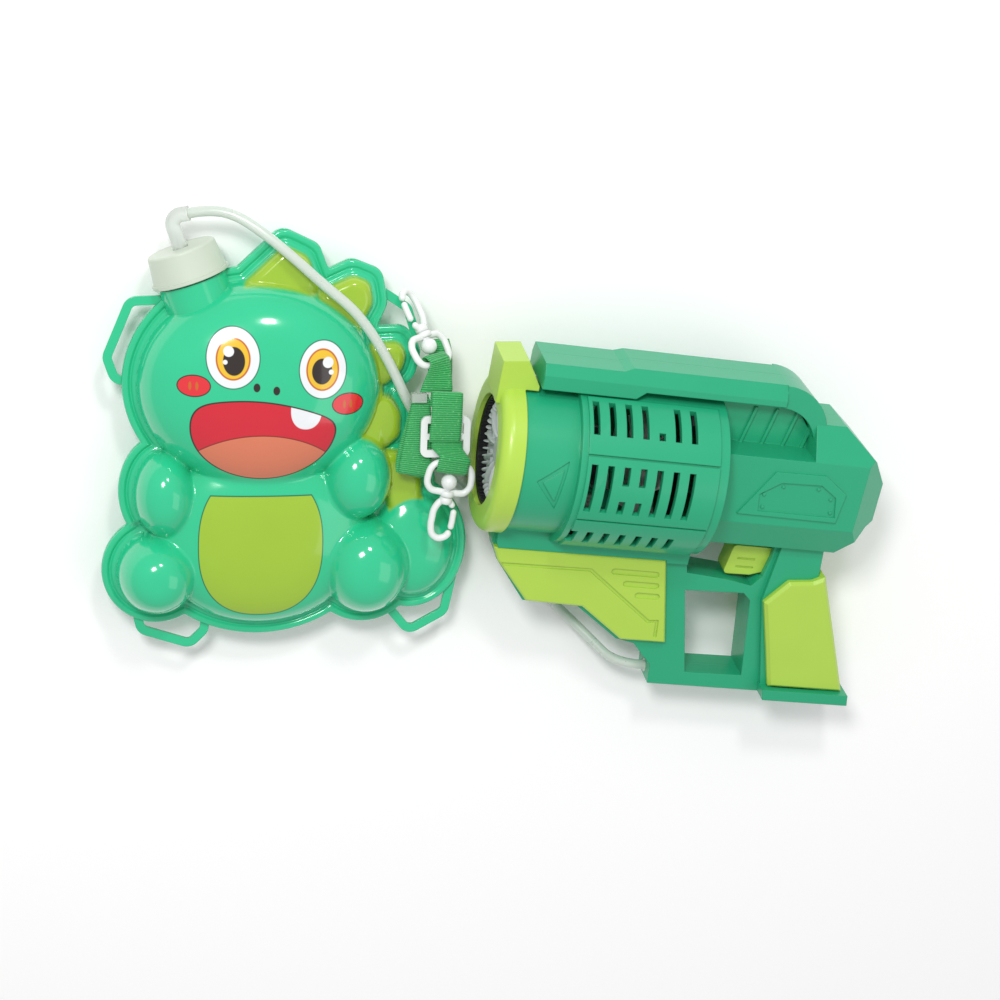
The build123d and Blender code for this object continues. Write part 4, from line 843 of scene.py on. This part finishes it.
# %% [markdown]
# ## Snap hooks
# Each white snap hook is three mouldings: an eye that the webbing passes, a hook that swivels in it
# on a ball, and a sprung gate. Their bars are round, so they are a circle carried along a flat path
# in the hook's own plane, with rounded ends, and the ball and neck are turned shapes.

# %% Round bars and turned shapes
AROUND = 20
circle = np.linspace(0, 2 * math.pi, AROUND, endpoint=False)


def round_bar(path, radius, closed=False):
    """A tube on a flat path in the xy plane: P + r (cos a N + sin a Z), a half ball at each open end."""
    row = np.c_[np.asarray(path, float), np.zeros(len(path))][:, None]
    if closed:
        row = np.concatenate([row[-2:], row, row[:2]])
    line = smooth_rows(row, 10)[:, 0]
    if closed:
        line = line[20:-20]
    along = np.r_[0, np.cumsum(np.linalg.norm(np.diff(line, axis=0), axis=1))]
    count = int(along[-1] / 0.45)
    at = np.linspace(0, along[-1], count + 1)[:count if closed else count + 1]
    line = np.stack([np.interp(at, along, line[:, k]) for k in range(3)], -1)
    step = np.roll(line, -1, 0) - np.roll(line, 1, 0) if closed else np.gradient(line, axis=0)
    step /= np.linalg.norm(step, axis=1, keepdims=True)
    side = np.stack([step[:, 1], -step[:, 0], np.zeros(len(line))], -1)
    near_end = np.minimum(at, along[-1] - at)
    r = radius * (1 if closed else np.sqrt(1 - (1 - np.clip(near_end / radius, 0.02, 1)) ** 2))
    r = np.broadcast_to(r, (len(line),))[:, None, None]
    points = line[:, None] + r * (np.cos(circle)[None, :, None] * side[:, None]
                                  + np.sin(circle)[None, :, None] * np.array([0, 0, 1.0]))
    faces = grid_faces(len(line), AROUND, wrap_rows=closed, wrap_columns=True)
    if not closed:
        last = (len(line) - 1) * AROUND
        faces += [list(range(AROUND))[::-1], list(range(last, last + AROUND))]
    return points.reshape(-1, 3), faces


def turned(profile, closed=False):
    """A shape turned about the hook's y axis: (r cos a, y, r sin a) for each (y, r) of its profile."""
    y, r = np.asarray(profile, float).T
    points = np.stack([r[:, None] * np.cos(circle)[None], np.broadcast_to(y[:, None], (len(y), AROUND)),
                       r[:, None] * np.sin(circle)[None]], -1)
    faces = grid_faces(len(y), AROUND, wrap_rows=closed, wrap_columns=True)
    if not closed:
        last = (len(y) - 1) * AROUND
        faces += [list(range(AROUND))[::-1], list(range(last, last + AROUND))]
    return points.reshape(-1, 3), faces


def hook_piece(name, hook, turn, body, shapes, node):
    """Several shapes of one moulding in one piece that replaces the hook's node."""
    points, faces, start = [], [], 0
    for shape_points, shape_faces in shapes:
        points.append(shape_points)
        faces += [[v + start for v in face] for face in shape_faces]
        start += len(shape_points)
    piece = new_piece(name, in_hook(hook, np.concatenate(points), turn) + SHIFT, faces, body=body)
    point_outwards(piece)
    piece.data.materials.append(hook_white)
    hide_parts(node)


# %% The two hooks
EYE_PATH = [(0, 5.3), (-4.2, 5.2), (-8.2, 4.6), (-10.6, 1.6), (-10.8, -2.4), (-9.9, -6.4), (-6.8, -9.0),
            (0, -9.3), (6.8, -9.0), (9.9, -6.4), (10.8, -2.4), (10.6, 1.6), (8.2, 4.6), (4.2, 5.2)]
COLLAR = [(4.3, 1.95), (4.3, 3.0), (4.8, 3.6), (6.8, 3.6), (7.2, 3.1), (7.2, 1.95)]
BALL = [(-4.05, 0.05), (-3.9, 0.9), (-3.5, 1.9), (-2.6, 3.0), (-1.4, 3.75), (0, 4.0), (1.4, 3.75),
        (2.6, 3.0), (3.4, 1.9), (4.2, 1.75), (7.3, 1.75), (7.5, 2.6), (8.0, 3.2), (10.2, 3.2),
        (11.0, 2.6), (11.4, 1.2), (11.5, 0.05)]
HOOK_PATH = [(1.2, 9.0), (3.4, 11.4), (4.9, 15.0), (5.1, 19.0), (5.0, 23.0), (3.7, 27.2), (0.3, 29.1),
             (-3.3, 27.6), (-4.9, 24.6)]
STUB_PATH = [(-1.2, 9.0), (-3.2, 11.0), (-4.6, 12.6)]
GATE_PATH = [(-5.0, 13.6), (-5.1, 17.0), (-5.1, 20.5), (-4.9, 24.0)]
BAR_R = 1.7
for end, hook, eye_turn, turn in (("upper", UPPER_HOOK, UPPER_EYE_TURN, math.radians(50.0)),
                                  ("lower", LOWER_HOOK, 0.0, 0.0)):
    hook_piece(f"{end}_eye", hook, eye_turn, ROOT, [round_bar(EYE_PATH, BAR_R, True), turned(COLLAR, True)],
               f"hook_{end}_eye")
    hook_piece(f"{end}_snap_hook", hook, turn, f"{end}_hook",
               [turned(BALL), round_bar(HOOK_PATH, BAR_R), round_bar(STUB_PATH, BAR_R - 0.1)],
               f"hook_{end}_body")
    hook_piece(f"{end}_snap_gate", hook, turn, f"{end}_gate", [round_bar(GATE_PATH, BAR_R - 0.15)],
               f"hook_{end}_gate")
print("two hooks")


# %% [markdown]
# ## The bubble wheel's petals
# Between the ten rings of the wheel run raised ribs, like a flower's petals, which carry a film of
# solution to the rings. They are long pillows, laid out round the wheel's axis in one go.

# %% Petals and rings
WHEEL_FACE = 7.5
petal_rows, petal_columns = 15, 9
t = np.linspace(0, 1, petal_rows)
a = np.linspace(0, math.pi, petal_columns)


def petals(name, count, inner, outer, width, rise, start):
    """Ribs from an inner to an outer radius: width w sin(pi t)^0.4, height h sin(pi t)^0.4 sin(a)."""
    swell = np.sin(math.pi * np.clip(t, 0.02, 0.98)) ** 0.4
    radius = inner + (outer - inner) * t
    turn = start + 2 * math.pi * np.arange(count) / count
    side = (width / 2) * swell[:, None] * np.cos(a)[None]
    lift = rise * swell[:, None] * np.sin(a)[None]
    c, s = np.cos(turn)[:, None, None], np.sin(turn)[:, None, None]
    y = radius[None, :, None] * c - side[None] * s
    z = radius[None, :, None] * s + side[None] * c
    x = np.broadcast_to(WHEEL_FACE + 0.15 - lift[None], y.shape)
    points = np.stack([x, y, z], -1).reshape(-1, 3)
    each = petal_rows * petal_columns
    one = grid_faces(petal_rows, petal_columns)
    one += [[r * petal_columns + petal_columns - 1, r * petal_columns, (r + 1) * petal_columns,
             (r + 1) * petal_columns + petal_columns - 1] for r in range(petal_rows - 1)]
    one += [list(range(petal_columns)), list(range(each - petal_columns, each))[::-1]]
    faces = [[k * each + v for v in face] for k in range(count) for face in one]
    piece = point_outwards(new_piece(name, on_gun(points), faces, body="bubble_drive"))
    piece.data.materials.append(grey)


petals("wheel_petals", 10, 7.0, 24.8, 2.6, 3.4, math.pi / 10)
petals("wheel_fine_ribs", 40, 20.8, 25.6, 1.5, 3.2, math.pi / 40)
print("petals on the wheel")


# %% [markdown]
# ## Floor and light
# A plain pale table top and soft studio light: two small soft boxes high beyond the set, whose
# reflections are the bright spots on the moulded skin, a wide weak one on the right, and a pale world.

# %% Floor
floor_mesh = bpy.data.meshes.new("floor")
floor_mesh.from_pydata([(-3, -3, 0), (3, -3, 0), (3, 3, 0), (-3, 3, 0)], [], [(0, 1, 2, 3)])
floor_mesh.transform(Matrix.Translation((0, 0, float(cad_box[0][2]) - 0.0001)))
floor = bpy.data.objects.new("floor", floor_mesh)
bpy.context.scene.collection.objects.link(floor)
pale, nodes, links, shader = new_material("pale_floor")
shader.inputs["Base Color"].default_value = (0.98, 0.98, 0.98, 1)
shader.inputs["Roughness"].default_value = 0.6
floor_mesh.materials.append(pale)

# %% Lights
def soft_box(name, place, size, power):
    """A square area light that faces the middle of the set."""
    light = bpy.data.lights.new(name, "AREA")
    light.size = size
    light.energy = power
    box = bpy.data.objects.new(name, light)
    box.location = place
    box.rotation_euler = (-box.location).to_track_quat("-Z", "Y").to_euler()
    bpy.context.scene.collection.objects.link(box)


soft_box("key_light", (-0.42, 0.62, 1.1), 0.26, 8.0)
soft_box("second_light", (0.05, 0.95, 1.0), 0.16, 3.4)
soft_box("fill_light", (0.9, -0.3, 1.2), 0.9, 2.4)
world = bpy.data.worlds.new("studio")
world.use_nodes = True
world.node_tree.nodes["Background"].inputs["Color"].default_value = (1.0, 1.0, 1.0, 1)
world.node_tree.nodes["Background"].inputs["Strength"].default_value = 0.56
bpy.context.scene.world = world
bpy.context.scene.view_settings.view_transform = "Standard"
print("floor and", len(bpy.data.lights), "lights")
